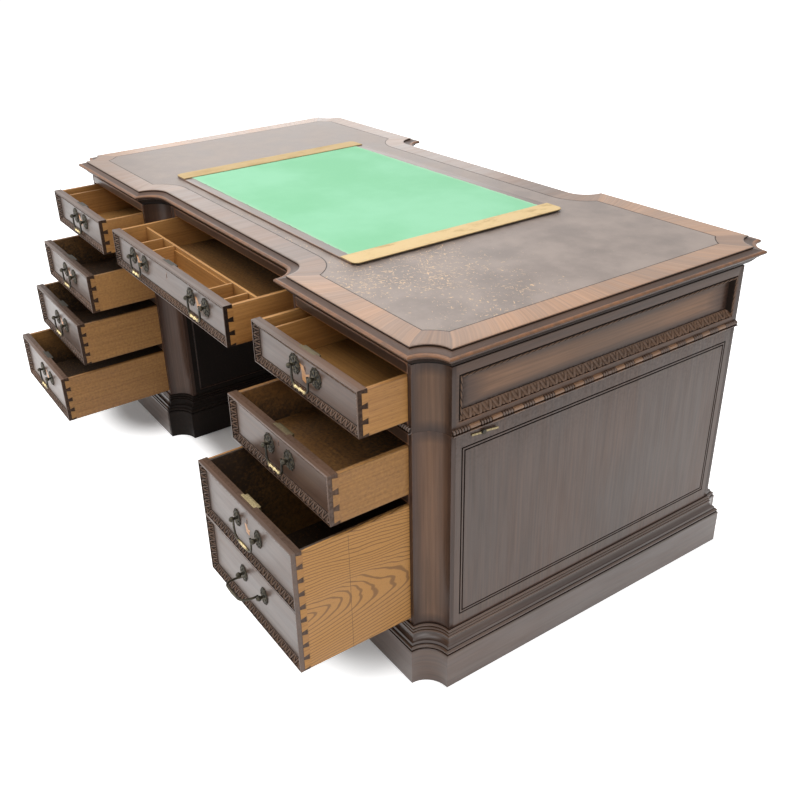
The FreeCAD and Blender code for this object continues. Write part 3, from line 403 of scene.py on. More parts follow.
def oak_finish(name, from_points):
    """Unpolished oak, with its grain from the mesh's points or from the object's own axes."""
    material, tree, shader = new_material(name)
    place = add_node(tree, "ShaderNodeTexCoord", {}).outputs["Object"]
    if from_points:
        grain = attribute(tree, "grain", "Vector")
        wear, dirt, tone = (attribute(tree, mark) for mark in ("wear", "dirt", "tone"))
    else:
        axes = add_node(tree, "ShaderNodeSeparateXYZ", {0: place}).outputs
        grain = add_node(tree, "ShaderNodeCombineXYZ", {0: axes[1], 1: axes[0], 2: axes[2]}).outputs[0]
        wear, dirt, tone = RUNNER_WEAR, RUNNER_DIRT, RUNNER_TONE
    figure = use_group(tree, figure_group, {"Grain": grain})
    aging_and_shade = use_group(tree, aging_and_shade_group, {"Place": place, "Wear": wear, "Dirt": dirt})
    mixed = sum_of(tree, "ADD", sum_of(tree, "MULTIPLY", figure.outputs["Streaks"], 0.5),
                   sum_of(tree, "MULTIPLY", figure.outputs["Cloud"], 0.45))
    mixed = sum_of(tree, "ADD", mixed, sum_of(tree, "MULTIPLY", tone, 0.2))
    colour = blend(tree, ramp(tree, mixed, 0.24, 0.66), OAK_RING, OAK_LIGHT)
    late = ramp(tree, figure.outputs["Rings"], 0.28, 0.02)
    late = sum_of(tree, "MULTIPLY", late, ramp(tree, mixed, 0.3, 0.5, 0.5, 1.0))
    late = sum_of(tree, "MULTIPLY", late, sum_of(tree, "MULTIPLY", tone, RING_SHARE))
    colour = blend(tree, late, colour, OAK_LATE)
    colour = blend(tree, sum_of(tree, "MULTIPLY", figure.outputs["Pores"], 0.6), colour, OAK_PORE)
    colour = blend(tree, sum_of(tree, "MULTIPLY", aging_and_shade.outputs["Worn"], 0.35), colour, OAK_DIRT_AND_SHADE)
    colour = blend(tree, sum_of(tree, "MULTIPLY", aging_and_shade.outputs["Grime"], 0.97), colour, OAK_DIRT_AND_SHADE)
    feed(tree, shader.inputs["Base Color"], colour)
    feed(tree, shader.inputs["Roughness"], ramp(tree, figure.outputs["Cloud"], 0.3, 0.7, 0.5, 0.66))
    bump(tree, shader, sum_of(tree, "SUBTRACT", 1.0, figure.outputs["Pores"]), OPEN_PORE)
    return material


oak = oak_finish("oak", from_points=True)
runner_oak = oak_finish("runner_oak", from_points=False)
print("materials", oak.name, runner_oak.name)

# %% [markdown]
# A Form gathers surfaces into one mesh. Each surface is a grid of points in rows and columns, given whole
# as an array, with the grain place, wear, dirt and painted shade, and tone of its points. A board, a moulding
# or a turned post is then one array sum, and a piece is a handful of them.


# %% Forms
class Form:
    """Surfaces gathered into one mesh, with the marks that the finishes read."""

    def __init__(self):
        self.points, self.marks, self.faces, self.skins = [], [], [], []
        self.count = 0

    def grid(self, points, grain, loop=False, ring=False, caps=(), wear=0.0, dirt=0.0, tone=0.0, skin=0):
        """Adds a grid; loop joins its last column to the first, ring its last row to the first,
        and each row named in caps is closed with one flat face. A list of skins has one for each band."""
        rows, columns = points.shape[:2]
        index = np.arange(rows * columns).reshape(rows, columns) + self.count
        net = np.vstack([index, index[:1]]) if ring else index
        net = np.hstack([net, net[:, :1]]) if loop else net
        quads = np.stack([net[:-1, :-1], net[:-1, 1:], net[1:, 1:], net[1:, :-1]], axis=-1)
        faces = quads.reshape(-1, 4).tolist() + [index[row].tolist() for row in caps]
        marks = np.empty((rows, columns, 6))
        marks[..., :3] = grain
        for channel, value in enumerate((wear, dirt, tone), start=3):
            marks[..., channel] = value
        self.points.append(points.reshape(-1, 3))
        self.marks.append(marks.reshape(-1, 6))
        self.faces += faces
        bands = np.broadcast_to(np.reshape(skin, (-1, 1)), quads.shape[:2])
        self.skins += bands.astype(int).ravel().tolist() + [int(bands[row, 0]) for row in caps]
        self.count += rows * columns


SMOOTH_BELOW = np.radians(38)


def build(name, form, materials, weld=0.0):
    """A mesh object from a form, its closed surfaces facing outwards; points closer than weld become one."""
    mesh = bpy.data.meshes.new(name)
    mesh.from_pydata(np.concatenate(form.points), [], form.faces)
    for material in materials:
        mesh.materials.append(material)
    mesh.polygons.foreach_set("material_index", np.array(form.skins, dtype=np.int32))
    marks = np.concatenate(form.marks)
    grain = mesh.attributes.new("grain", "FLOAT_VECTOR", "POINT")
    grain.data.foreach_set("vector", marks[:, :3].ravel().astype(np.float32))
    for channel, mark in enumerate(("wear", "dirt", "tone"), start=3):
        layer = mesh.attributes.new(mark, "FLOAT", "POINT")
        layer.data.foreach_set("value", marks[:, channel].astype(np.float32))
    shell = bmesh.new()
    shell.from_mesh(mesh)
    if weld:
        bmesh.ops.remove_doubles(shell, verts=shell.verts, dist=weld)
    bmesh.ops.recalc_face_normals(shell, faces=shell.faces)
    shell.to_mesh(mesh)
    shell.free()
    mesh.polygons.foreach_set("use_smooth", np.ones(len(mesh.polygons), dtype=bool))
    mesh.set_sharp_from_angle(angle=SMOOTH_BELOW)
    item = bpy.data.objects.new(name, mesh)
    bpy.context.scene.collection.objects.link(item)
    return item


def stand_for(node, form, materials, weld=0.0):
    """The look of one measured node: it hides the node and moves with the node's body."""
    item = build(f"{node}_look", form, materials, weld)
    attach(item, NODES[node]["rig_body"])
    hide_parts(node)
    return item


def span(node):
    """Lowest and highest corner of a measured node."""
    return [np.array(corner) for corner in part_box(node)]


SCATTER_WAY, SCATTER_SCALE = (129.898, 782.33, 377.19), 43758.5453
LOG_LENGTH, LOG_WIDTH, HEART_NEAR, HEART_SPREAD = 3.0, 0.1, 0.04, 0.07


def log_place(point):
    """Where in its log a board was cut: a scattered but fixed offset for each place in the desk."""
    seed = np.dot(point, SCATTER_WAY) + np.arange(3)
    along, aside, deep = np.modf(np.abs(np.sin(seed)) * SCATTER_SCALE)[0]
    return np.array([along * LOG_LENGTH, (aside - 0.5) * LOG_WIDTH, HEART_NEAR + deep * HEART_SPREAD])


print("a form starts with", Form().count, "points")

# %% [markdown]
# Most of a desk is boards. A joiner takes the sharp arris off each one, and that rounding catches the light
# and wears first. A board here is a rounded rectangle carried along its grain, with a row of points a few
# millimetres in from each arris, so that the wear can fade out across the face.

# %% Boards
EASE = 0.8 * MM
WEAR_BAND = 5 * MM
HAIR = 0.01 * MM


def section(half_b, half_c, ease, band):
    """Points round a rectangle: at each corner a flat point, three points of a quarter circle of radius
    ease, and a flat point; band is the distance of the flat points from the circle."""
    corner = np.array([[1, 1], [-1, 1], [-1, -1], [1, -1]])[:, None, :]
    angle = np.radians([0, 45, 90]) + np.arange(4)[:, None] * np.pi / 2
    circle = np.stack([np.cos(angle), np.sin(angle)], axis=-1)
    arc = corner * (np.array([half_b, half_c]) - ease) + ease * circle
    tangent = np.stack([-np.sin(angle), np.cos(angle)], axis=-1)
    before = arc[:, :1] - band * tangent[:, :1]
    after = arc[:, -1:] + band * tangent[:, -1:]
    return np.concatenate([before, arc, after], axis=1).reshape(-1, 2)


CORNER_WEAR = np.tile([0.0, 1, 1, 1, 0], 4)


def leaning(slope):
    """Turns a place in a board into one in a log whose heart goes away from the board along it."""
    return np.array([[1, 0, slope], [0, 1, 0], [0, 0, 1]])


def plank(form, low, high, along, tone=0.0, wear=1.0, dirt=0.0, skin=0, ease=EASE, darkening_by_place=None, lean=None):
    """A board between two corners with its grain along one axis: the section rings at eight places along it,
    drawn in by the easing at both ends. A function given for the darkening of the points works it out from
    where they are; inside the drawers it is painted shade. A lean says where the log's heart lay: beside,
    below, and how much deeper with each metre, which draws arches."""
    low, high = np.array(low, float), np.array(high, float)
    middle, half = (low + high) / 2, (high - low) / 2
    order = [along, (along + 1) % 3, (along + 2) % 3]
    half_a, half_b, half_c = half[order]
    thin = half.min()
    ease = min(ease, 0.3 * thin)
    band = max(HAIR, min(WEAR_BAND, 0.9 * thin - 2 * ease))
    full = section(half_b, half_c, ease, band)
    tight = section(half_b - ease, half_c - ease, HAIR, band - HAIR)
    inner = section(half_b - ease - 0.8 * band, half_c - ease - 0.8 * band, HAIR, 0.1 * band)
    rings = np.stack([inner, tight, full, full, full, full, tight, inner])
    stops = np.array([-half_a, -half_a, ease - half_a, ease + band - half_a])
    stops = np.concatenate([stops, -stops[::-1]])
    local = np.concatenate([np.broadcast_to(stops[:, None, None], rings.shape[:2] + (1,)), rings], axis=-1)
    points = np.empty_like(local)
    points[..., order] = local + middle[order]
    ends = np.array([0.0, 1, 1, 0, 0, 1, 1, 0])[:, None]
    worn = np.maximum(ends, CORNER_WEAR * np.array([0, 1, 1, 1, 1, 1, 1, 0])[:, None])
    dirt = darkening_by_place(points) if darkening_by_place else dirt
    grain = local + log_place(middle) if lean is None else local @ leaning(lean[2]) + (0, lean[0], lean[1])
    form.grid(points, grain, loop=True, caps=(0, -1), wear=wear * worn, dirt=dirt, tone=tone, skin=skin)


trial = Form()
plank(trial, (0, 0, 0), (1, 0.1, 0.02), 0)
print("a board has", trial.count, "points")

# %% [markdown]
# The sizes that several looks share are read off the measured nodes, or written here once where the box of
# a node doesn't show them, so that no look can drift from another.

# %% Lines of the desk
EDGE_REACH = 20 * MM
SCOOP = 52 * MM
RECESS_DEPTH = 58 * MM
POST = 62 * MM
SIDE_BOARD = 22 * MM

top_low, top_high = span("top_board")
case_low, case_high = span("right_pedestal")
FLAT_X, FLAT_Y = top_high[:2] - EDGE_REACH
SURFACE, TOP_FOOT = top_high[2], top_low[2]
KNEE_X, BODY_X = case_low[0], case_high[0]
BODY_Y = case_high[1]
PLINTH_TOP, JOINT = case_low[2], case_high[2]
POST_X, POST_Y, INNER_POST_X = BODY_X - POST, BODY_Y - POST, KNEE_X + POST
RECESS_X = KNEE_X + SCOOP - RECESS_DEPTH
RECESS_Y = BODY_Y - RECESS_DEPTH
RECESS_BACK = RECESS_Y - POST
print("surface", round(SURFACE, 4), "body", round(BODY_X, 4), round(BODY_Y, 4))

# %% [markdown]
# The top has a winged outline: hollow corners, and a recessed middle on both long sides that ends in
# quarter hollows. Its edge is run with one moulding plane: a flat, a quirk, a hollow, a round nosing and a
# bead below. So the look is one profile of reach and height carried round the outline, with mitres where it
# turns.

# %% Outline of the top
ARC_STEPS = 14
STRAIGHT_STEPS = 10
MITRE = 0.004


def full_turn(quarter, half_x):
    """A whole outline from its right front quarter, by mirroring; rows are kept."""
    middle = np.stack([half_x, np.zeros_like(half_x)], axis=-1)
    second = np.concatenate([middle, quarter[:, :0:-1] * (1, -1)], axis=1)
    return np.concatenate([quarter, second, -quarter, -second], axis=1)


def straight(start, end, steps, first=False):
    """Points between two columns of points, with the first one or without it. The outermost ones lie close to
    the ends, so that a mitre stays sharp."""
    share = np.concatenate([[0, MITRE], np.linspace(0, 1, steps + 1)[1:-1], [1 - MITRE]])
    share = share[0 if first else 1:, None]
    return start[:, None, :] * (1 - share) + end[:, None, :] * share


def hollow(centre, radius, start, end):
    """A circle's arc round a column of points, from one column of angles to another in degrees."""
    share = np.linspace(0, 1, ARC_STEPS + 1)
    angle = np.radians(np.multiply.outer(np.asarray(start) + 0 * radius, 1 - share)
                       + np.multiply.outer(np.asarray(end) + 0 * radius, share))
    return centre[:, None, :] + radius[:, None, None] * np.stack([np.cos(angle), np.sin(angle)], axis=-1)


def winged(reach):
    """Outlines of the top, one for each reach outside its flat: half the recess, a hollow, the wing, the
    hollow corner and half the end, then mirrored. Inside the flat the hollows keep their middles and widen,
    so that the border has one width; their ends lie where the wider circle meets the straight sides."""
    reach = np.atleast_1d(reach)
    inside = np.clip(-reach, 0, None)
    half_x, half_y = FLAT_X + reach, FLAT_Y + reach
    recess = RECESS_X - (FLAT_X - BODY_X) - np.clip(reach, 0, None)
    radius, recess_radius = SCOOP + inside, RECESS_DEPTH + inside
    cut, recess_cut = np.degrees(np.arcsin(inside / radius)), np.degrees(np.arcsin(inside / recess_radius))
    start = np.stack([np.zeros_like(reach), RECESS_DEPTH - half_y], axis=-1)
    turn_in = hollow(np.stack([recess, -half_y - inside], axis=-1), recess_radius, 90, recess_cut)
    corner = hollow(np.stack([half_x + inside, -half_y - inside], axis=-1), radius, 180 - cut, 90 + cut)
    end = np.stack([half_x, np.zeros_like(reach)], axis=-1)
    quarter = np.concatenate([
        straight(start, turn_in[:, 0], STRAIGHT_STEPS, first=True), turn_in,
        straight(turn_in[:, -1], corner[:, 0], STRAIGHT_STEPS), corner,
        straight(corner[:, -1], end, STRAIGHT_STEPS)], axis=1)
    return full_turn(quarter, half_x[:, None])


def run_length(outline):
    """Distance along a closed outline at each of its points."""
    steps = np.linalg.norm(np.diff(outline, axis=0), axis=1)
    return np.concatenate([[0], np.cumsum(steps)])


def arc_rows(centre, radius, start, end, count, **marks):
    """Profile rows round a circle in reach and height, from one angle to another in degrees."""
    angle = np.radians(np.linspace(start, end, count))
    return [row(centre[0] + radius * c, centre[1] + radius * s, **marks)
            for c, s in zip(np.cos(angle), np.sin(angle))]


def row(reach, height, wear=0.0, dirt=0.0, tone=0.0):
    """One line of a profile."""
    return reach, height, wear, dirt, tone


def lifted(outline, height):
    """Outlines in space, each one at its height over the writing surface, in millimetres."""
    level = np.broadcast_to(SURFACE + height[..., None] * MM, outline.shape[:2] + (1,))
    return np.concatenate([outline, level], axis=-1)


print("outline of", winged(0.0).shape[1], "points")

# %% Top
BORDER = 58
ARRIS_ROW = 8
BAND_STRETCH, BAND_HEART, EDGE_HEART = 0.6, 0.08, 0.06
HOLLOW_TONE, WING_TONE, FAR_WING_TONE, RECESS_TONE, SIDE_TONE = 0.56, 1.08, 0.55, 0.42, 1.08
edge_rows = [
    row(-BORDER, -2, dirt=1.0), row(-BORDER, 0, dirt=0.7, tone=0.6),
    row(-BORDER + 0.8, 0, dirt=0.3, tone=0.8), row(-BORDER + 4, 0, tone=0.95), row(-30, 0, tone=1.0),
    row(-6, 0, tone=1.0), row(-1.4, 0, wear=0.3, tone=0.9),
    row(-0.4, -0.25, wear=0.4, tone=0.6), row(-0.38, -0.27, wear=0.4, tone=0.4),
    row(0, -1, wear=0.4, tone=0.3), row(0, -2.6, dirt=0.5, tone=0.2), row(-1.2, -3.0, dirt=1.0),
    row(-1.2, -4.4, dirt=1.0), row(0.3, -4.6, wear=0.2, tone=0.2), row(3, -5.6, tone=0.16),
    row(6.5, -6.9, tone=0.14), row(10, -7.9, tone=0.14), row(13, -8.6, tone=0.16)]
edge_rows += arc_rows((15.6, -12.6), 4.4, 112, 10, 6, wear=0.72, tone=0.36)
edge_rows += arc_rows((15.6, -12.6), 4.4, -10, -85, 5, wear=0.2, tone=0.12)
# Below the nosing the rows are painted dark: painted shade under the overhang, with dirt in its quirks.
edge_rows += [row(12, -17.6, dirt=0.5), row(9.6, -18.2, dirt=1.0)]
edge_rows += arc_rows((8.4, -20.8), 2.1, 60, -70, 5, wear=0.3, tone=0.15)
edge_rows += [row(7, -23.6, dirt=0.9), row(5.5, -26, dirt=0.7), row(3, -29.5, dirt=0.7),
              row(0, -33, dirt=0.75), row(-3, -36, dirt=0.8), row(-6, -38, dirt=0.9),
              row(-9.6, -39.5, dirt=1.0), row(-11.2, -41.2, dirt=1.0), row(-11.2, -43, dirt=1.0)]
edge_table = np.array(edge_rows)
reach, height, edge_wear, edge_dirt_and_shade, edge_tone = edge_table.T[..., None]
outline = winged(reach[:, 0] * MM)
along_edge = np.broadcast_to(run_length(winged(0.0)[0]), outline.shape[:2])
top_points = lifted(outline, height)
across_edge = np.broadcast_to(reach * MM, outline.shape[:2])
crossband = np.stack([across_edge * BAND_STRETCH, along_edge, BAND_HEART + 0 * along_edge], axis=-1)
edge_depth = EDGE_HEART + np.broadcast_to(height * MM, along_edge.shape)
moulding = np.stack([along_edge, across_edge, edge_depth], axis=-1)
is_border = (np.arange(len(edge_table)) < ARRIS_ROW)[:, None]
plan = np.abs(winged(0.0)[0])
recess_end = np.array([RECESS_X - (FLAT_X - BODY_X), FLAT_Y])
in_scoop = np.linalg.norm(plan - (FLAT_X, FLAT_Y), axis=1) < SCOOP + HAIR
in_recess_end = np.linalg.norm(plan - recess_end, axis=1) < RECESS_DEPTH + HAIR
in_recess_end &= plan[:, 0] > recess_end[0] - HAIR
wing_tone = np.where(winged(0.0)[0][:, 0] > 0, WING_TONE, FAR_WING_TONE)
on_recess = np.isclose(plan[:, 1], FLAT_Y - RECESS_DEPTH)
veneer = np.select([in_scoop | in_recess_end, np.isclose(plan[:, 1], FLAT_Y), on_recess],
                   [HOLLOW_TONE, wing_tone, RECESS_TONE], SIDE_TONE)
top = Form()
top.grid(top_points, np.where(is_border[..., None], crossband, moulding), loop=True, caps=(0, -1),
         wear=edge_wear, dirt=edge_dirt_and_shade, tone=edge_tone * np.where(is_border, veneer, 1.0),
         skin=np.arange(len(edge_table) - 1) > ARRIS_ROW)
stand_for("top_board", top, [mahogany, dull_mahogany])
print("top", top.count, "points")

# %% [markdown]
# The writing surface is one hide, glued into a shallow bed. It is dark brown and satin, scuffed to tan
# where papers and elbows slid on it, most of all in front of and beside the blotter. The scuffs are short
# and lie in all directions, so they come from stretched noise at three turns rather than from one.

# %% Leather finish
LEATHER_DARK = (0.178, 0.137, 0.116, 1)
LEATHER_LIGHT = (0.292, 0.235, 0.204, 1)
LEATHER_SCUFF = (0.66, 0.44, 0.25, 1)
SCUFF_TURNS = (0.5, 1.7, 2.6)
SCUFF_MIDDLE = (0.42, -0.28)
SCUFF_SPREAD = (0.55, 0.24)
SCUFF_LIMIT, SCUFF_BUSY, SCUFF_SHARE = 0.765, 0.25, 0.85

leather, tree, shader = new_material("leather")
place = add_node(tree, "ShaderNodeTexCoord", {}).outputs["Object"]
mottle = noise(tree, place, (9, 9, 9), detail=5, roughness=0.6)
colour = blend(tree, ramp(tree, mottle, 0.3, 0.7), LEATHER_DARK, LEATHER_LIGHT)
axes = add_node(tree, "ShaderNodeSeparateXYZ", {0: place}).outputs
away = [sum_of(tree, "DIVIDE", sum_of(tree, "SUBTRACT", axes[way], SCUFF_MIDDLE[way]), SCUFF_SPREAD[way])
        for way in (0, 1)]
away = sum_of(tree, "ADD", *[sum_of(tree, "MULTIPLY", value, value) for value in away])
busy = ramp(tree, away, 0.0, 2.2, 1.0, 0.25)
busy = sum_of(tree, "MULTIPLY", busy, noise(tree, place, (7, 7, 7), detail=2))
limit = sum_of(tree, "SUBTRACT", SCUFF_LIMIT, sum_of(tree, "MULTIPLY", busy, SCUFF_BUSY))
scuffs = None
for number, turn in enumerate(SCUFF_TURNS):
    inputs = {"Vector": place, "Angle": turn}
    swung = add_node(tree, "ShaderNodeVectorRotate", inputs, rotation_type="Z_AXIS").outputs[0]
    marks = noise(tree, swung, (70, 210, 10 + number), detail=3, roughness=0.6)
    marks = ramp(tree, sum_of(tree, "SUBTRACT", marks, limit), 0.0, 0.05)
    scuffs = marks if scuffs is None else sum_of(tree, "MAXIMUM", scuffs, marks)
colour = blend(tree, sum_of(tree, "MULTIPLY", scuffs, SCUFF_SHARE), colour, LEATHER_SCUFF)
rim = use_group(tree, aging_and_shade_group, {"Place": place, "Wear": 0.0, "Dirt": attribute(tree, "dirt")})
colour = blend(tree, rim.outputs["Grime"], colour, BLACK_DIRT_AND_SHADE)
feed(tree, shader.inputs["Base Color"], colour)
feed(tree, shader.inputs["Roughness"], ramp(tree, mottle, 0.3, 0.7, 0.36, 0.5))
pebble = noise(tree, place, (900, 900, 900), detail=2)
bump(tree, shader, sum_of(tree, "SUBTRACT", pebble, scuffs), 0.10 * MM)
print("material", leather.name)

# %% Hide
LEATHER_FIT = 0.2
HIDE_EDGE = -BORDER - LEATHER_FIT
leather_rows = np.array([row(HIDE_EDGE, -2, dirt=1.0), row(HIDE_EDGE, -0.5, dirt=1.0),
                         row(HIDE_EDGE - 0.6, -0.1, dirt=0.8), row(-BORDER - 1.6, -0.05, dirt=0.45),
                         row(-BORDER - 3.2, -0.02)])
reach, height, _, rim_dirt, _ = leather_rows.T[..., None]
outline = winged(reach[:, 0] * MM)
hide_points = lifted(outline, height)
hide = Form()
hide.grid(hide_points, hide_points, loop=True, caps=(0, -1), dirt=rim_dirt)
stand_for("leather_top", hide, [leather])
print("leather", hide.count, "points")

# %% [markdown]
# The posts at the corners have a hollow face, planed along their length. A post is its plan, a square with
# a quarter circle taken out of one corner, carried upwards. It is a little smaller at both ends, because
# the joints of the case show as thin dark lines.

# %% Hollow posts
FRIEZE_POST, OUTER_POST, INNER_POST = 0.48, 0.4, 0.16
POST_FADE = 26 * MM
JOINT_LINE = 0.7 * MM
ARRIS_SHARE, ARRIS_WEAR, WARM_SPREAD = 0.05, 0.6, 0.8


def hollow_post(form, inner, corner, radius, low, high, warmth, skin=1):
    """A post between an inner point and a hollowed corner: two straight sides, the quarter hollow and the two
    edges beside it, carried from low to high. The hollow's middle has the warmth for a tone, and its arrises
    are worn."""
    inner, corner = np.array(inner, float), np.array(corner, float)
    way = np.sign(corner - inner)
    size = np.abs(corner - inner)
    turn = np.radians(np.linspace(180, 270, ARC_STEPS + 1))
    arc = size + radius * np.stack([np.cos(turn), np.sin(turn)], axis=-1)
    before = arc[:1] - (WEAR_BAND, 0) if arc[0, 0] > 2 * WEAR_BAND else arc[:1]
    after = arc[-1:] - (0, WEAR_BAND) if arc[-1, 1] > 2 * WEAR_BAND else arc[-1:]
    plan = np.concatenate([[[0, 0]], [[0, size[1]]], before, arc, after, [[size[0], 0]]])
    share = np.linspace(0, 1, ARC_STEPS + 1)
    arris = np.exp(-(np.minimum(share, 1 - share) / ARRIS_SHARE) ** 2)
    wear = np.concatenate([[0, 0.2, 0.1], ARRIS_WEAR * arris, [0.1, 0.2]])
    warm = np.concatenate([[0, 0, 0], np.sin(np.pi * share) ** WARM_SPREAD * warmth, [0, 0]])
    middle = plan.mean(axis=0)
    tight = middle + (plan - middle) * (1 - JOINT_LINE / size.max())
    rings = np.stack([tight, plan, plan, plan, plan, tight])
    heights = np.array([low, low + JOINT_LINE, low + POST_FADE, high - POST_FADE, high - JOINT_LINE, high])
    heights = heights[:, None, None]
    flat = inner + way * rings
    points = np.concatenate([flat, np.broadcast_to(heights, flat.shape[:2] + (1,))], axis=-1)
    local = np.concatenate([np.broadcast_to(heights, flat.shape[:2] + (1,)), rings], axis=-1)
    foot_dirt = np.array([1.0, 0, 0, 0, 0, 0])[:, None]
    head_wear = np.array([0, 0, 0, 0, 0.5, 0.6])[:, None]
    faded = np.array([0.1, 0.1, 1, 1, 0.1, 0.1])[:, None]
    form.grid(points, local + log_place(points.mean(axis=(0, 1))), loop=True, caps=(0, -1),
              wear=np.maximum(wear * (1 - foot_dirt), head_wear), dirt=foot_dirt, tone=warm * faded,
              skin=skin)


trial = Form()
hollow_post(trial, (0, 0), (POST, POST), SCOOP, 0, 1, OUTER_POST)
print("a post has", trial.count, "points")

# %% [markdown]
# Panels, drawer fronts and doors all have a moulding carried round a rectangle and mitred at the corners.
# Its profile is a list of rows, each a distance inside the sides, foot and head and a depth. Some rows are
# carved: a leaf or a rope pattern lifts them, and its hollows hold dirt.

# %% Framed faces
FACES = {"front": (1, 0, 0), "back": (-1, 0, 0), "right": (0, 1, 0), "left": (0, -1, 0)}
NOT_CARVED = -1.0
HOLLOW_DIRT, DIRT_FALL, CREST_WEAR = 1.15, 1.7, 0.2


def facing(side, origin):
    """A function that takes (u, v, w), along a face, up it and out of it, to the desk's frame."""
    along, up = np.array(FACES[side], float), np.array([0.0, 0, 1])
    out = np.cross(along, up)

    def put(u, v, w):
        u, v, w = np.broadcast_arrays(u, v, w)
        return np.array(origin) + u[..., None] * along + v[..., None] * up + w[..., None] * out

    return put


def frame_row(inset, depth, wear=0.0, dirt=0.0, tone=0.0, carved=NOT_CARVED, foot=None, head=None):
    """One line of a framed profile; foot and head are the same as the sides where not given."""
    foot, head = (inset if value is None else value for value in (foot, head))
    return inset, foot, head, depth, wear, dirt, tone, carved


def ridge(distance, width):
    """A rounded ridge round nought."""
    return np.exp(-(distance / width) ** 2)


def leaf_relief(along, across, pitch):
    """Height from 0 to 1 of a row of water leaves: in each pitch two ridges that open from the foot of the
    leaf to its head, a short vein between them, and a dart where two leaves meet."""
    turns = along / pitch
    aside = np.abs(turns - np.round(turns))
    rim = ridge(aside - 0.10 - 0.28 * across ** 0.8, 0.11)
    vein = ridge(aside, 0.09) * np.clip(2.2 * across - 0.9, 0, 1)
    dart = ridge(aside - 0.5, 0.08) * np.clip(1.3 - 2 * across, 0, 1)
    lip = 0.6 * ridge(across - 1, 0.1) + 0 * aside
    return np.maximum.reduce([rim, 0.9 * vein, 0.8 * dart, lip])


def rope_relief(along, across, pitch):
    """Height from 0 to 1 of a twisted rope: strands that slope across a round."""
    strand = 0.5 + 0.5 * np.cos(2 * np.pi * (along / pitch + 0.9 * across))
    return np.sqrt(strand) * np.sin(np.pi * np.clip(across, 0, 1))


def framed(form, put, width, height, rows, step, carve=None, upright=False, skin=0, shade=None):
    """A profile carried round a rectangle: each row is a smaller rectangle at its depth. The first row is
    closed behind and the last in front. carve gives the rise and the relief, from 0 to 1, of the carved
    rows from (edge, along, across). shade gives the least darkening at a share of the width and of the
    height: painted shade on the ends below the frieze, and soiled end grain on the fronts."""
    side, foot, head, depth, wear, dirt, tone, carved = np.array(rows, float).T[..., None] * MM
    wear, dirt, tone, carved = wear / MM, dirt / MM, tone / MM, carved / MM
    half, low, high = width / 2 - side, foot - height / 2, height / 2 - head
    count_u, count_v = max(2, round(width / step)), max(2, round(height / step))
    run, climb = np.arange(count_u) / count_u, np.arange(count_v) / count_v
    one_u, one_v = np.ones(count_u), np.ones(count_v)
    u = np.hstack([half * (2 * run - 1), half * one_v, half * (1 - 2 * run), -half * one_v])
    v = np.hstack([low * one_u, low + (high - low) * climb, high * one_u, high - (high - low) * climb])
    w = depth + 0 * u
    wear, dirt, tone = wear + 0 * u, dirt + 0 * u, tone + 0 * u
    if carve:
        edge = np.repeat(np.arange(4), [count_u, count_v, count_u, count_v])[None]
        rise, relief = carve(edge, np.where(edge % 2 == 0, u, v), np.clip(carved, 0, 1))
        cut = carved >= 0
        w = np.where(cut, w + rise, w)
        dirt = np.where(cut, HOLLOW_DIRT - DIRT_FALL * relief, dirt).clip(0, 1)
        wear = np.where(cut, CREST_WEAR * relief ** 3, wear)
    if shade:
        dirt = np.maximum(dirt, shade(u / width, v / height + 0.5))
    points = put(u, v, w)
    grain = np.stack([v, u, w] if upright else [u, v, w], axis=-1)
    form.grid(points, grain + log_place(put(0.0, 0.0, 0.0)), loop=True, caps=(0, -1), wear=wear, dirt=dirt,
              tone=tone, skin=skin)


print("faces of the desk", list(FACES))

# %% [markdown]
# A thin beaded line, an astragal, runs along the foot of the frieze. It is a half round over a small
# fillet, and it is turned into groups of four pearls between plain lengths. The pearls are a radius that
# changes along it.

# %% Astragal
PEARL, PEARLS, PLAIN, END_PEARLS = 6.5 * MM, 4, 27 * MM, 6
BEAD_STEP, BEAD_TOP = 1.3 * MM, 12.8


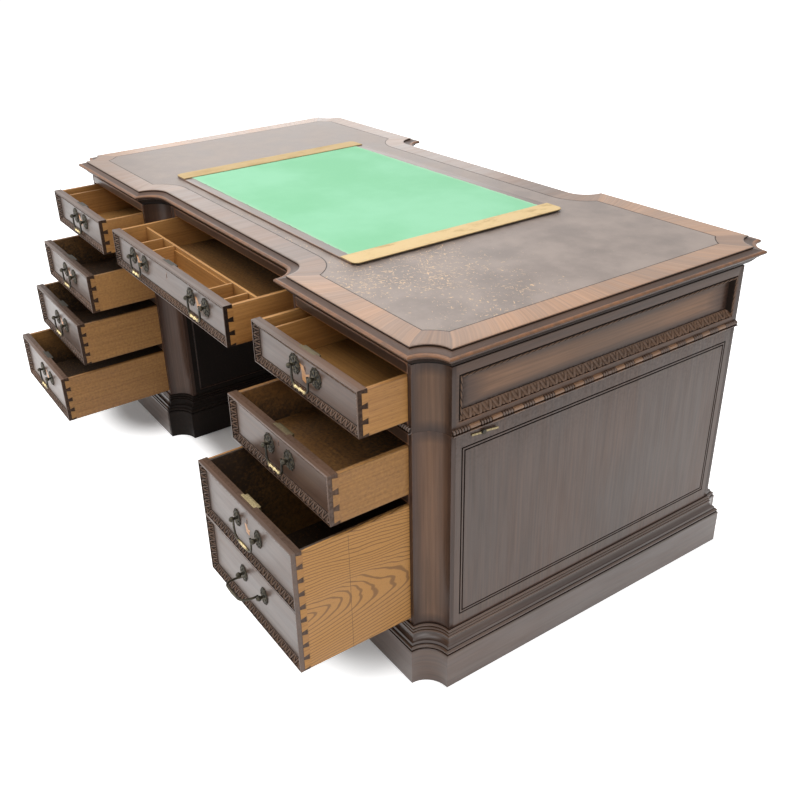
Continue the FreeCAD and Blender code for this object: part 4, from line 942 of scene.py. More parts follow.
def astragal(form, put, length):
    """A bead carried along u: a fillet, a groove and a round whose radius swells at each pearl. Within a
    pearl at share p from its middle the radius goes with the square root of 1 - (2.1 p) squared."""
    count = int(length / BEAD_STEP)
    u = np.linspace(-length / 2, length / 2, count)
    from_end = length / 2 - np.abs(u)
    at = np.mod(from_end - PEARL * END_PEARLS, PEARL * PEARLS + PLAIN)
    is_plain = (at < PLAIN) & (from_end > PEARL * END_PEARLS)
    p = np.mod(np.where(from_end < PEARL * END_PEARLS, from_end, at - PLAIN), PEARL) / PEARL - 0.5
    pearl = np.sqrt(np.clip(1 - (2.1 * p) ** 2, 0.02, 1))
    ends = np.minimum(at, PLAIN - at) / MM
    plain = 0.8 * np.clip(ends / 1.5, 0.4, 1)
    swell = np.where(is_plain, plain, pearl)[:, None]
    turn = np.radians(np.linspace(-75, 90, 7))
    fillet = np.array([[0.3, 0], [0.3, 7.2], [1.0, 7.9], [2.2, 7.9], [2.8, 6.6], [3.0, 3.8]])
    middle, radius = np.array([8.0, 2.6]), 4.9
    foot_v, foot_w = (np.tile(line, (count, 1)) for line in fillet.T)
    v = np.hstack([foot_v, middle[0] + radius * swell * np.sin(turn), np.full((count, 1), BEAD_TOP)])
    w = np.hstack([foot_w, middle[1] + radius * swell * np.cos(turn), np.zeros((count, 1))])
    wear = np.concatenate([[0, 0.3, 0.5, 0.5, 0.2, 0], 0.3 * np.sin(np.linspace(0.2, 2.9, 7)), [0]])
    dirt = np.concatenate([[0, 0, 0, 0, 0.4, 0.9], [0.5, 0, 0, 0, 0, 0, 0], [0.6]])
    # Between the pearls the bead is painted dark: dirt and painted shade in the gaps.
    between = np.clip(1.6 - swell / 0.5, 0, 1) * np.concatenate([np.zeros(4), np.ones(10)])
    tone = np.where(is_plain, 0.75, 0.3)[:, None] * np.concatenate([np.full(6, 0.6), np.ones(8)])
    points = put(u[:, None], v * MM, w * MM)
    grain = np.stack([u[:, None] + 0 * v, v * MM, w * MM], axis=-1)
    form.grid(points, grain + log_place(points.mean(axis=(0, 1))), loop=True, caps=(0, -1), wear=wear * swell,
              dirt=np.maximum(dirt, between), tone=tone)


trial = Form()
astragal(trial, facing("front", (0, 0, 0)), 1.0)
print("a metre of bead has", trial.count, "points")

# %% [markdown]
# The frieze is the shallow case under the top. Its two ends have a sunk panel, with a rope round the top
# and sides and a row of leaves along the foot. The rest is plain rails, posts and boards, worn along their
# arrises.

# %% Frieze
RAIL = 21.5 * MM
END_BOARD = 27 * MM
STILE = 26 * MM
PARTITION = 16 * MM
LEAF_PITCH, ROPE_PITCH = 24 * MM, 16 * MM
LEAF_LIFT, ROPE_LIFT = 2.8 * MM, 2.4 * MM
ROPE_SHARE = 0.7
END_SINK = 11
END_TONE, LEAF_GROUND, LEAF_CLEAN, LEAF_CLEANEST = 0.58, 0.7, 0.3, 0.8
END_STEP = 2 * MM


def end_slope(share):
    """Depth of the moulding round an end panel, from its outer line to the panel."""
    return -1.0 - (END_SINK - 1.0) * share ** 1.5


def end_carving(edge, along, across):
    """Leaves on the slope along the foot. On the sides and the head a rope stands on the edge, then a
    drop."""
    leaf = leaf_relief(along, across, LEAF_PITCH)
    rope = rope_relief(along, across / ROPE_SHARE, ROPE_PITCH)
    drop = -END_SINK * np.clip((across - ROPE_SHARE) / (1 - ROPE_SHARE), 0, 1)
    rope_rise = ROPE_LIFT * rope + (drop - end_slope(across)) * MM
    leaf_rise, clean = LEAF_LIFT * (leaf - LEAF_GROUND), LEAF_CLEAN + (LEAF_CLEANEST - LEAF_CLEAN) * leaf
    return np.where(edge == 0, leaf_rise, rope_rise), np.where(edge == 0, clean, rope)


end_rows = [frame_row(0, -27), frame_row(0, 0, tone=0.15),
            frame_row(5.5, 0, tone=0.2, wear=0.2, foot=19, head=19),
            frame_row(6.6, -0.2, wear=0.7, tone=0.25, foot=24, head=19.6),
            frame_row(6.8, -3, dirt=1, foot=24.4, head=19.8),
            frame_row(8.2, -3, dirt=1, foot=25.2, head=21.2)]
for share in np.linspace(0, 1, 11):
    end_rows.append(frame_row(8.4 + 7.6 * share, end_slope(share), tone=0.4, carved=share,
                              foot=25.4 + 16 * share, head=21.4 + 7.6 * share))
end_rows += [frame_row(16.3, -END_SINK - 1, dirt=1, foot=41.8, head=29.4)]
end_rows += [frame_row(16.8 + 4 * inset, -END_SINK - 1, dirt=0.6 * (inset == 0), tone=END_TONE * share,
                       foot=42.4 + inset, head=30 + inset)
             for inset, share in ((0, 0.1), (8, 0.4), (18, 0.85), (30, 1.0))]

frieze = Form()
frieze_height = TOP_FOOT - JOINT
low_rail, high_rail = (JOINT, JOINT + RAIL), (TOP_FOOT - RAIL, TOP_FOOT)
for sign, side in ((-1, "left"), (1, "right")):
    put = facing(side, (sign * BODY_X, 0, (JOINT + TOP_FOOT) / 2))
    framed(frieze, put, 2 * POST_Y, frieze_height, end_rows, END_STEP, carve=end_carving, skin=1)
    astragal(frieze, facing(side, (sign * BODY_X, 0, JOINT)), 2 * (BODY_Y - SCOOP))
    inner_x = BODY_X - END_BOARD
    for y_sign, face in ((-1, "front"), (1, "back")):
        hollow_post(frieze, (sign * POST_X, y_sign * POST_Y), (sign * BODY_X, y_sign * BODY_Y), SCOOP,
                    JOINT, TOP_FOOT, FRIEZE_POST)
        hollow_post(frieze, (sign * INNER_POST_X, y_sign * RECESS_BACK), (sign * RECESS_X, y_sign * BODY_Y),
                    RECESS_DEPTH, JOINT, TOP_FOOT, INNER_POST)
        near, far = sorted((y_sign * RECESS_BACK, y_sign * RECESS_Y))
        stile = sorted((sign * (RECESS_X - STILE), sign * RECESS_X))
        plank(frieze, (stile[0], near, JOINT), (stile[1], far, TOP_FOOT), 2)
        near, far = sorted((y_sign * POST_Y, y_sign * BODY_Y))
        wing = sorted((sign * INNER_POST_X, sign * POST_X))
        for low, high in (low_rail, high_rail):
            plank(frieze, (wing[0], near, low), (wing[1], far, high), 0)
        wing_middle = sign * (KNEE_X + BODY_X) / 2
        astragal(frieze, facing(face, (wing_middle, y_sign * BODY_Y, JOINT)), BODY_X - KNEE_X - 2 * SCOOP)
    divider = sorted((sign * KNEE_X, sign * (KNEE_X + SIDE_BOARD)))
    plank(frieze, (divider[0], -RECESS_BACK, JOINT), (divider[1], RECESS_BACK, TOP_FOOT), 1)
    wall = sorted((sign * (KNEE_X + SIDE_BOARD), sign * inner_x))
    plank(frieze, (wall[0], -PARTITION / 2, JOINT), (wall[1], PARTITION / 2, TOP_FOOT), 0)
for y_sign, face in ((-1, "front"), (1, "back")):
    near, far = sorted((y_sign * RECESS_BACK, y_sign * RECESS_Y))
    for low, high in (low_rail, high_rail):
        plank(frieze, (STILE - RECESS_X, near, low), (RECESS_X - STILE, far, high), 0)
    astragal(frieze, facing(face, (0, y_sign * RECESS_Y, JOINT)), 2 * RECESS_X)
plank(frieze, (-KNEE_X, -PARTITION / 2, JOINT), (KNEE_X, PARTITION / 2, TOP_FOOT), 0)
stand_for("frieze_frame", frieze, [mahogany, dull_mahogany])
print("frieze", frieze.count, "points")

# %% [markdown]
# Each pedestal is a case between four hollow posts. Its ends are one wide upright board, with two fine
# lines cut into it as a rectangle. On the kneehole side the line is a small bead. Both are framed faces
# with a shallow profile, so the lines are real grooves that hold dirt.
# The kneehole side is painted dark, and the upper part of each end darker, as painted shade.

# %% Pedestals
SILL_HEIGHT, HEAD_RAIL = 11 * MM, 29 * MM
DRAWER_GAP, CLEAR = 1 * MM, 0.3 * MM
PLAIN_STEP = 20 * MM
COVER, SHELF = 18 * MM, 16 * MM
FOOT_INSET, HEAD_INSET, LINE_INSET = 29, 34, 16
LINE_APART = 6.5
LINE_DEPTH = 1.8
CASE_TONE = 0.16
FRIEZE_SHADE, SHADE_FROM = 0.36, 0.4


def incised(at):
    """Six rows of one cut line, at a distance inside the first line's rectangle."""
    return [frame_row(LINE_INSET + at + aside, drop, dirt=dark, tone=CASE_TONE, wear=rub,
                      foot=FOOT_INSET + at + aside, head=HEAD_INSET + at + aside)
            for aside, drop, dark, rub in ((-2.1, 0, 0, 0), (-1.6, 0, 0, 0.3), (-1.4, -LINE_DEPTH, 1, 0),
                                           (1.4, -LINE_DEPTH, 1, 0), (1.6, 0, 0, 0.3), (2.1, 0, 0, 0))]


side_rows = [frame_row(0, -22), frame_row(0, -0.5, dirt=0.9), frame_row(0.5, 0, tone=CASE_TONE, wear=0.3)]
side_rows += incised(0) + incised(LINE_APART)
side_rows += [frame_row(LINE_INSET + inset, 0, tone=CASE_TONE, foot=FOOT_INSET + inset,
                        head=HEAD_INSET + inset)
              for inset in (14, 40, 70, 100, 140, 180)]
# The kneehole side is painted nearly black, as painted shade, with dirt in the grooves of its bead.
KNEE_SHADE = 0.95
knee_rows = [frame_row(0, -22), frame_row(0, 0, dirt=KNEE_SHADE), frame_row(14, 0, dirt=KNEE_SHADE),
             frame_row(15, -1.2, dirt=1), frame_row(16, -0.2, dirt=0.4), frame_row(17.5, 0.2, dirt=0.4),
             frame_row(19, -0.6, dirt=0.6), frame_row(19.6, -1.6, dirt=1),
             frame_row(21, -1.2, dirt=KNEE_SHADE), frame_row(30, -1.2, dirt=KNEE_SHADE)]


def under_frieze(width_share, height_share):
    """Painted shade on an end below the frieze: its upper part is darker, as in the frieze's shadow."""
    return FRIEZE_SHADE * np.clip((height_share - SHADE_FROM) / (1 - SHADE_FROM), 0, 1) + 0 * width_share


front_rows = {-1: [], 1: []}
for sign, name in ((-1, "left_lower"), (-1, "left_middle"), (-1, "left_upper"),
                   (1, "right_deep"), (1, "right_upper")):
    front_low, front_high = span(f"{name}_front")
    front_rows[sign].append((front_low[2], front_high[2] + DRAWER_GAP))

for sign, side, knee in ((-1, "left", "right"), (1, "right", "left")):
    name = f"{side}_pedestal"
    case = Form()
    middle_z = (PLINTH_TOP + JOINT) / 2
    framed(case, facing(side, (sign * BODY_X, 0, middle_z)), 2 * POST_Y, JOINT - PLINTH_TOP, side_rows,
           PLAIN_STEP, upright=True, shade=under_frieze)
    framed(case, facing(knee, (sign * KNEE_X, 0, middle_z)), 2 * POST_Y, JOINT - PLINTH_TOP, knee_rows,
           PLAIN_STEP, upright=True, skin=1)
    inside = sorted((sign * (KNEE_X + SIDE_BOARD), sign * (BODY_X - SIDE_BOARD)))
    opening = sorted((sign * INNER_POST_X, sign * POST_X))
    sill = PLINTH_TOP + SILL_HEIGHT
    head = JOINT - HEAD_RAIL
    plank(case, (inside[0], -POST_Y, PLINTH_TOP), (inside[1], POST_Y, sill), 1)
    plank(case, (inside[0], -POST_Y, JOINT - COVER), (inside[1], POST_Y, JOINT), 1)
    plank(case, (inside[0], -PARTITION / 2, sill), (inside[1], PARTITION / 2, JOINT - COVER), 2)
    shelf_z = (sill + head) / 2
    plank(case, (inside[0], PARTITION / 2, shelf_z - SHELF / 2),
          (inside[1], POST_Y - SHELF, shelf_z + SHELF / 2), 0)
    for y_sign in (-1, 1):
        near, far = sorted((y_sign * POST_Y, y_sign * BODY_Y))
        for inner_x, corner_x, warmth in ((POST_X, BODY_X, OUTER_POST), (INNER_POST_X, KNEE_X, INNER_POST)):
            hollow_post(case, (sign * inner_x, y_sign * POST_Y), (sign * corner_x, y_sign * BODY_Y), SCOOP,
                        PLINTH_TOP, JOINT, warmth)
        plank(case, (opening[0], near, PLINTH_TOP), (opening[1], far, sill), 0)
        plank(case, (opening[0], near, head), (opening[1], far, JOINT), 0)
    rows = front_rows[sign]
    for lower, upper in zip(rows, rows[1:]):
        plank(case, (opening[0], -BODY_Y, lower[1]), (opening[1], -POST_Y, upper[0] - CLEAR), 0)
    stand_for(name, case, [worn_mahogany, dull_mahogany])
    print(name, case.count, "points")

# %% [markdown]
# The plinths carry the pedestals. From the floor up, a plinth is a plain band, a bead, a cove and three
# thin reeds, with the same hollow corners at every level. It is one profile carried round a scooped
# rectangle, and closed on the inside, like a ring.

# %% Plinths
PLINTH_MIDDLE = (KNEE_X + BODY_X) / 2
PLINTH_HEART, PLINTH_ASIDE = 0.05, 0.03
plinth_rows = [row(-40, 0), row(21.5, 0, dirt=0.6), row(23, 1.5, wear=0.5, dirt=0.3), row(23, 6, tone=0.18),
               row(23, 40, tone=0.18), row(23, 80, tone=0.18), row(23, 84.5, wear=0.3, tone=0.18),
               row(22, 86, wear=0.5), row(19.5, 86.6, dirt=1)]
plinth_rows += arc_rows((17.4, 90.8), 4.0, -75, 80, 7, wear=0.15, tone=0.22)
plinth_rows += [row(16.4, 95.2, dirt=1), row(16.2, 96.6, wear=0.2)]
plinth_rows += arc_rows((16.6, 112.4), 11.5, 262, 186, 8, dirt=0.2, tone=0.1)
plinth_rows += [row(5.0, 112.2, dirt=1)]
for base, centre in ((112.4, 5.4), (118.8, 4.2), (125.2, 3.0)):
    plinth_rows += arc_rows((centre - 0.6, base + 2.9), 2.7, -80, 80, 5, wear=0.3, tone=0.28)
    plinth_rows += [row(centre - 1.4, base + 6.1, dirt=1)]
plinth_rows += [row(0, 131), row(-40, 131)]
reach, height, plinth_wear, plinth_dirt, plinth_tone = np.array(plinth_rows).T[..., None]


def scooped(reach, half_x, half_y):
    """A rectangle with hollow corners, one outline for each reach outside its sides."""
    half_x, half_y = half_x + reach, half_y + reach
    start = np.stack([np.zeros_like(reach), -half_y], axis=-1)
    corner = hollow(np.stack([half_x, -half_y], axis=-1), SCOOP + 0 * reach, 180, 90)
    end = np.stack([half_x, np.zeros_like(reach)], axis=-1)
    quarter = np.concatenate([straight(start, corner[:, 0], STRAIGHT_STEPS, first=True), corner,
                              straight(corner[:, -1], end, STRAIGHT_STEPS)], axis=1)
    return full_turn(quarter, half_x[:, None])


plinths = Form()
HALF_PLINTH = (BODY_X - KNEE_X) / 2
outline = scooped(reach[:, 0] * MM, HALF_PLINTH, BODY_Y)
along_plinth = np.broadcast_to(run_length(scooped(np.zeros(1), HALF_PLINTH, BODY_Y)[0]), outline.shape[:2])
lift = np.broadcast_to(height * MM, outline.shape[:2])
plinth_grain = np.stack([along_plinth, lift, PLINTH_HEART + 0 * lift], axis=-1)
for sign in (-1, 1):
    points = np.concatenate([outline + (sign * PLINTH_MIDDLE, 0), lift[..., None]], axis=-1)
    # Inside the kneehole the plinth is painted nearly black: painted shade.
    in_kneehole = sign * outline[..., 0] < SCOOP - HALF_PLINTH
    plinths.grid(points, plinth_grain + (sign, PLINTH_ASIDE * sign, 0), loop=True, ring=True,
                 wear=plinth_wear, dirt=np.maximum(plinth_dirt, KNEE_SHADE * in_kneehole), tone=plinth_tone)
stand_for("plinths", plinths, [mahogany])
print("plinths", plinths.count, "points")

# %% [markdown]
# A drawer front is a board with a carved moulding of leaves round a sunk panel. A key turns between the two
# plates of its handle, and knuckles and keys have knocked the polish off below the keyhole, down to bare
# wood with a sharp edge. At its ends the oak sides are let in with half-blind dovetails: the tails are thin
# oak plates that lie flush in the mahogany.

# %% Carved fronts
FRONT_THICKNESS = 22
FRONT_STEP = 1.5 * MM
CARVED_PITCH = 17 * MM
CARVED_LIFT, GROUND = 3.6 * MM, 0.7
PANEL_DEPTH = 10
PANEL_TONE, EDGE_TONE, INNER_TONE, BARE_TONE = 0.22, 0.28, 0.3, 2.0
# The rear part of each front is darker by a given amount, drawer by drawer; the end grain at its ends is
# grimy.
REAR_DARKENING = {"left_upper": 0.52, "left_middle": 0.52, "left_lower": 0.42, "right_upper": 0.4,
              "right_deep": 0.4}
END_GRIME = {"centre": 0.8, "right_upper": 0.45, "right_deep": 0.0}
OTHER_END = 0.62
AT_END = 0.4999
REAR_DEPTHS, OUTER_DEPTHS, PANEL_INSETS = (FRONT_THICKNESS, 9.4), (9, 1.6), (18, 30)

front_profile = [frame_row(0, -1.2, wear=0.3, tone=EDGE_TONE), frame_row(0.4, -0.4, wear=0.5, tone=EDGE_TONE),
                 frame_row(1.2, 0, wear=0.3, tone=EDGE_TONE), frame_row(2.8, 0, tone=EDGE_TONE),
                 frame_row(3.1, -2.4, dirt=1), frame_row(4.2, -2.6, dirt=1)]
for share in np.linspace(0, 1, 11):
    front_profile.append(frame_row(4.4 + 10.6 * share, -1.6 - 7.4 * share ** 1.5, tone=0.4, carved=share))
front_profile += [frame_row(15.3, -PANEL_DEPTH, dirt=1),
                  frame_row(16.1, -PANEL_DEPTH, dirt=0.7, tone=PANEL_TONE)]


def front_carving(edge, along, across):
    """Leaves on all four edges."""
    leaf = leaf_relief(along, across, CARVED_PITCH)
    return CARVED_LIFT * (leaf - GROUND), leaf


def carved_front(form, name, side, face, low_x, high_x, low_z, high_z):
    """A front between its ends: two rows of its rear part, two of its outer part, the profile's rows, then
    two rows of the panel. The rear part is darker, and the ends are grimy."""
    def end_grain(width_share, height_share):
        return END_GRIME.get(name, OTHER_END) * (np.abs(width_share) > AT_END)

    middle = ((low_x + high_x) / 2, face, (low_z + high_z) / 2)
    darkening = REAR_DARKENING.get(name, 0.0)
    rows = [frame_row(0, -depth, tone=INNER_TONE, dirt=darkening) for depth in REAR_DEPTHS]
    rows += [frame_row(0, -depth, tone=EDGE_TONE, dirt=darkening / 2) for depth in OUTER_DEPTHS]
    rows += front_profile
    rows += [frame_row(inset, -PANEL_DEPTH, tone=PANEL_TONE) for inset in PANEL_INSETS]
    framed(form, facing(side, middle), high_x - low_x, high_z - low_z, rows, FRONT_STEP, carve=front_carving,
           skin=[2, 2] + [0] * (len(rows) - 3), shade=end_grain)


print("a front's moulding has", len(front_profile), "rows")

# %% Bare patches and keyholes
PATCH_MIDDLE = (-3, -14)
PATCH_CORNERS = np.array([(16.7, -4.3), (2.4, -10.2), (-2.4, -3.2), (-7, 5.3), (-20, 6), (-15.5, -5.7),
                          (-14.3, -15.7), (-13, -27.2), (-2, -30), (9.6, -29.8), (8.4, -16.7), (14.3, -11.4)])
PROUD = 0.15 * MM
ROUND_STEPS = 24
KEYHOLE = (1.9 * MM, 6.2 * MM)


def around(steps):
    """Angles in equal steps round a circle."""
    return np.arange(steps) * 2 * np.pi / steps


def bare_patch(form, put, scale):
    """A patch without polish: its corners lie round its middle, and each ring is a share of the way out to
    them."""
    out = np.array([0.02, 0.5, 0.97, 1.0, 1.0])[:, None, None]
    plan = (np.array(PATCH_MIDDLE) + out * (PATCH_CORNERS - PATCH_MIDDLE)) * scale * MM
    height = np.array([1.0, 1, 1, 0.6, -1])[:, None] * PROUD
    points = put(plan[..., 0], plan[..., 1], height)
    form.grid(points, points + log_place(put(0.0, 0.0, 0.0)), loop=True, caps=(0, -1), tone=BARE_TONE,
              wear=np.array([0, 0, 0, 1, 1.0])[:, None])


def keyhole(form, put):
    """A keyhole: a raised rim round a dark slot, rings of one oval at rising and falling heights."""
    turn = around(ROUND_STEPS)
    size = np.array([0.02, 1.0, 1.0, 1.35, 1.35])[:, None]
    height = np.array([0.3, 0.3, 1.4, 1.4, -1])[:, None] * PROUD
    points = put(KEYHOLE[0] * size * np.cos(turn), KEYHOLE[1] * size * np.sin(turn), height + 0 * turn)
    # The slot is a flat floor painted dark: painted shade for the hole.
    form.grid(points, points, loop=True, caps=(0, -1), dirt=np.array([1, 1.0, 0.3, 0, 0.4])[:, None],
              wear=np.array([0, 0, 1.0, 1, 0])[:, None], tone=np.array([0, 0, 0.8, 0.8, 0])[:, None])


FRONT_DRAWERS = ("left_frieze", "left_upper", "left_middle", "left_lower", "centre", "right_frieze",
                 "right_upper", "right_deep")
BACK_DRAWERS = ("back_left", "back_centre", "back_right")
BAILS = {name: [bail for bail in JOINTS if bail.startswith(f"{name}_bail")]
         for name in FRONT_DRAWERS + BACK_DRAWERS}
KEYHOLE_RISE = {"right_frieze": 4, "right_upper": 17, "right_deep": 15}
OTHER_RISE = 9
RAISED_ANGLE = 20
BARE = {"right_frieze": 1.0, "centre": 0.85, "right_deep": 0.62, "left_frieze": 0.8, "left_upper": 0.7,
        "left_middle": 0.6, "left_lower": 0.75}
PATCH_RISE = 3 * MM


def is_raised(bail):
    """Whether a bail was photographed turned out from where it hangs."""
    return -JOINTS[bail]["range_deg"][0] > RAISED_ANGLE


def front_marks(form, name, side, face, way):
    """Keyhole and bare patches of a front: a patch between the plates of every handle, except where a raised
    handle covers it."""
    panel = face + way * PANEL_DEPTH * MM
    pivots = np.array([JOINTS[bail]["pos_m"] for bail in BAILS[name]])
    upper = pivots[np.argmax(pivots[:, 2])]
    rise = KEYHOLE_RISE.get(name, OTHER_RISE) * MM
    keyhole(form, facing(side, (pivots[:, 0].mean(), panel, upper[2] + rise)))
    for bail, pivot in zip(BAILS[name], pivots):
        if name in BARE and not is_raised(bail):
            bare_patch(form, facing(side, (pivot[0], panel, pivot[2] + PATCH_RISE)), BARE[name])


print("handles", sum(len(bails) for bails in BAILS.values()), "bare patches on", len(BARE), "fronts")


# %% Dovetails
def slab(form, corner, edge_a, edge_b, push, grain_axis, skin=0, wear=0.0, dirt=0.0, tone=0.0, taper=0.0):
    """A thin closed block on a four-sided face: the face spanned by two edges, one end narrowed by taper,
    carried along push."""
    corner, edge_a, edge_b, push = (np.array(value, float) for value in (corner, edge_a, edge_b, push))
    end = corner + edge_a
    face = np.stack([corner, end + taper * edge_b, end + (1 - taper) * edge_b, corner + edge_b])
    points = np.stack([face, face + push])
    grain = np.roll(points, -grain_axis, axis=-1)
    form.grid(points, grain + log_place(face.mean(axis=0)), loop=True, caps=(0, -1), skin=skin, wear=wear,
              dirt=dirt, tone=tone)


LAP, TAIL_ROOT = 10 * MM, 24 * MM
TAIL_PROUD = 0.12 * MM
TAIL_PITCH, TAIL_SHARE, TAIL_TAPER = 31 * MM, 0.56, -0.16


def dovetails(form, low_x, high_x, face, y_way, low_z, high_z, skin, darkening=0.0):
    """Oak tails in the two ends of a front, narrower towards its face, between dark pins."""
    count = max(3, round((high_z - low_z) / TAIL_PITCH))
    pitch = (high_z - low_z) / count
    for number in range(count):
        foot = low_z + (number + (1 - TAIL_SHARE) / 2) * pitch
        for x, push in ((low_x, -TAIL_PROUD), (high_x, TAIL_PROUD)):
            slab(form, (x - 2 * push, face + y_way * TAIL_ROOT, foot), (0, y_way * (LAP - TAIL_ROOT), 0),
                 (0, 0, TAIL_SHARE * pitch), (3 * push, 0, 0), 1, skin=skin, taper=TAIL_TAPER, dirt=darkening)


trial = Form()
dovetails(trial, 0, 1, 0, 1, 0, 0.1, 0)
print("a front of 100 mm has", len(trial.points), "tails")

# %% [markdown]
# The box behind a front is thin oak: two sides, a back and a bottom, with laths where it is divided. The
# centre drawer has a long lath, four short ones and a pen tray with a coved hollow.

# %% Boxes
SIDE, SIDE_DROP, BOTTOM, BOTTOM_LIFT = 11 * MM, 3 * MM, 7 * MM, 6 * MM
DARK_BELOW = 110 * MM
HEART = (0.02, 0.065, 0.2)
# The outer faces of some boxes are darker by a given amount. Inside, the boxes are painted with shade: darker
# lower down, further back, and in drawers that lie deep in the desk.
OUTER_DARKENING = {"left_upper": 0.36, "left_middle": 0.4, "left_lower": 0.4, "right_upper": 0.38,
               "left_frieze": 0.3}
INNER_SHADE = {"left_upper": 0.6, "left_middle": 0.65, "left_lower": 0.3, "right_deep": 1.0,
               "right_upper": 0.5, "left_frieze": -0.15, "centre": 0.0}
OTHER_INNER = 0.15
BOTTOM_SHADE = {"centre": -0.1, "right_frieze": -0.2, "right_upper": 0.4, "left_frieze": -0.15}
OTHER_FLOOR = 0.8
SUNK_SHADE, BACK_SHADE, BOTTOM_BACK_SHADE = 0.7, 0.6, 1.2


def drawer_box(form, low, high, y_way, skin, name=""):
    """Sides, back and bottom in the space behind a front; y_way is the way from the front into the desk.
    Inside, the wood is painted darker the lower and the further back it lies, as painted shade. The deep
    drawer's right side shows arches of rings."""
    root, end = (low[1], high[1]) if y_way > 0 else (high[1], low[1])
    near, far = sorted((root, end))

    def depth_share(points):
        return np.clip(y_way * (points[..., 1] - root) / (far - near), 0, 1)

    def side_darkening(points):
        inside = (points[..., 0] > low[0] + SIDE / 2) & (points[..., 0] < high[0] - SIDE / 2)
        inside &= y_way * (end - points[..., 1]) > SIDE / 2
        sunk = np.clip((high[2] - points[..., 2]) / DARK_BELOW, 0, 1)
        inner = INNER_SHADE.get(name, OTHER_INNER) + SUNK_SHADE * sunk + BACK_SHADE * depth_share(points)
        return np.where(inside, np.clip(inner, 0, 1), OUTER_DARKENING.get(name, 0.0))

    def bottom_shade(points):
        darkening = BOTTOM_SHADE.get(name, OTHER_FLOOR) + BOTTOM_BACK_SHADE * depth_share(points)
        return np.clip(darkening, 0, 1)

    arched = name == "right_deep"
    plank(form, (low[0], near, low[2]), (low[0] + SIDE, far, high[2]), 1, skin=skin, darkening_by_place=side_darkening)
    plank(form, (high[0] - SIDE, near, low[2]), (high[0], far, high[2]), 1, skin=skin, darkening_by_place=side_darkening,
          tone=1.0 * arched, lean=HEART if arched else None)
    back = sorted((end, end - y_way * SIDE))
    plank(form, (low[0] + SIDE, back[0], low[2]), (high[0] - SIDE, back[1], high[2]), 0, skin=skin,
          darkening_by_place=side_darkening)
    floor_y = sorted((root, end - y_way * SIDE))
    floor_z = low[2] + BOTTOM_LIFT
    plank(form, (low[0] + SIDE, floor_y[0], floor_z), (high[0] - SIDE, floor_y[1], floor_z + BOTTOM), 0,
          skin=skin, darkening_by_place=bottom_shade)
    return floor_y, floor_z + BOTTOM


trial = Form()
print("a box of 100 mm has its floor at", drawer_box(trial, np.zeros(3), np.full(3, 0.1), 1, 0)[1])

# %% Pen tray
LATH, LATH_HEIGHT, LATH_BACK, SIDE_TRAY = 7 * MM, 74 * MM, 68 * MM, 32 * MM
TRAY_FRONT, TRAY_BACK, TRAY_FLOOR = 30 * MM, 64 * MM, 4 * MM


def pen_tray(form, low_x, high_x, low_y, high_y, floor_z, skin):
    """A coved block: half an oval hollow between a low front and a high back, carried along X."""
    middle, half = (low_y + high_y) / 2, (high_y - low_y) / 2 - LATH / 2
    turn = np.linspace(0, 1, 17)
    rim = TRAY_FRONT + (TRAY_BACK - TRAY_FRONT) * turn
    cove_y = middle - half * np.cos(np.pi * turn)
    cove_z = floor_z + rim - (rim - TRAY_FLOOR) * np.sin(np.pi * turn)
    y = np.concatenate([[low_y, low_y], cove_y, [high_y, high_y]])
    z = np.concatenate([[floor_z, floor_z + TRAY_FRONT], cove_z, [floor_z + TRAY_BACK, floor_z]])
    x = np.array([low_x, high_x])[:, None]
    points = np.stack(np.broadcast_arrays(x, y, z), axis=-1)
    dirt = np.concatenate([[0, 0], 0.05 + 0.2 * np.sin(np.pi * turn), [0, 0]])
    form.grid(points, points + log_place(points.mean(axis=(0, 1))), loop=True, caps=(0, -1), skin=skin,
              dirt=dirt)


trial = Form()
pen_tray(trial, 0, 1, 0, 0.1, 0, 0)
print("a pen tray has", trial.count, "points")

# %% Drawers of the front
CROSS_SHARES = (-0.31, -0.197, 0.295, 0.41)
DEEP_SPLIT = 290.5 * MM
SCRIBED, SCRIBE, SCRIBE_DIRT = 100 * MM, 0.8 * MM, 0.7
for name in FRONT_DRAWERS:
    low, high = span(f"{name}_front")
    front = Form()
    splits = [low[2], DEEP_SPLIT, high[2]] if name == "right_deep" else [low[2], high[2]]
    for foot, head in zip(splits, splits[1:]):
        carved_front(front, name, "front", low[1], low[0], high[0], foot, head)
    front_marks(front, name, "front", low[1], 1)
    dovetails(front, low[0], high[0], low[1], 1, low[2], high[2] - SIDE_DROP, 1, OUTER_DARKENING.get(name, 0.0))
    stand_for(f"{name}_front", front, [worn_mahogany, oak, dull_mahogany])

    low, high = span(f"{name}_box")
    box = Form()
    floor_y, floor_z = drawer_box(box, low, high, 1, 0, name)
    if name in ("left_frieze", "right_frieze"):
        edge = low[0] + SIDE + SIDE_TRAY
        plank(box, (edge, floor_y[0], floor_z), (edge + LATH, floor_y[1], floor_z + LATH_HEIGHT), 1)
    if name == "centre":
        lath_y = low[1] + LATH_BACK
        plank(box, (low[0] + SIDE, lath_y, floor_z),
              (high[0] - SIDE, lath_y + LATH, floor_z + LATH_HEIGHT), 0)
        places = [share * (high[0] - low[0]) for share in CROSS_SHARES]
        for x in places:
            plank(box, (x - LATH / 2, low[1], floor_z), (x + LATH / 2, lath_y, floor_z + LATH_HEIGHT), 1)
        pen_tray(box, places[1] + LATH / 2, places[2] - LATH / 2, low[1], lath_y, floor_z, 0)
    if name == "right_deep":
        slab(box, (high[0] - TAIL_PROUD, low[1] + SCRIBED, low[2]), (0, SCRIBE, 0),
             (0, 0, high[2] - low[2] - 2 * SIDE_DROP), (1.5 * TAIL_PROUD, 0, 0), 1, dirt=SCRIBE_DIRT)
    stand_for(f"{name}_box", box, [oak])
    print(name, front.count + box.count, "points")

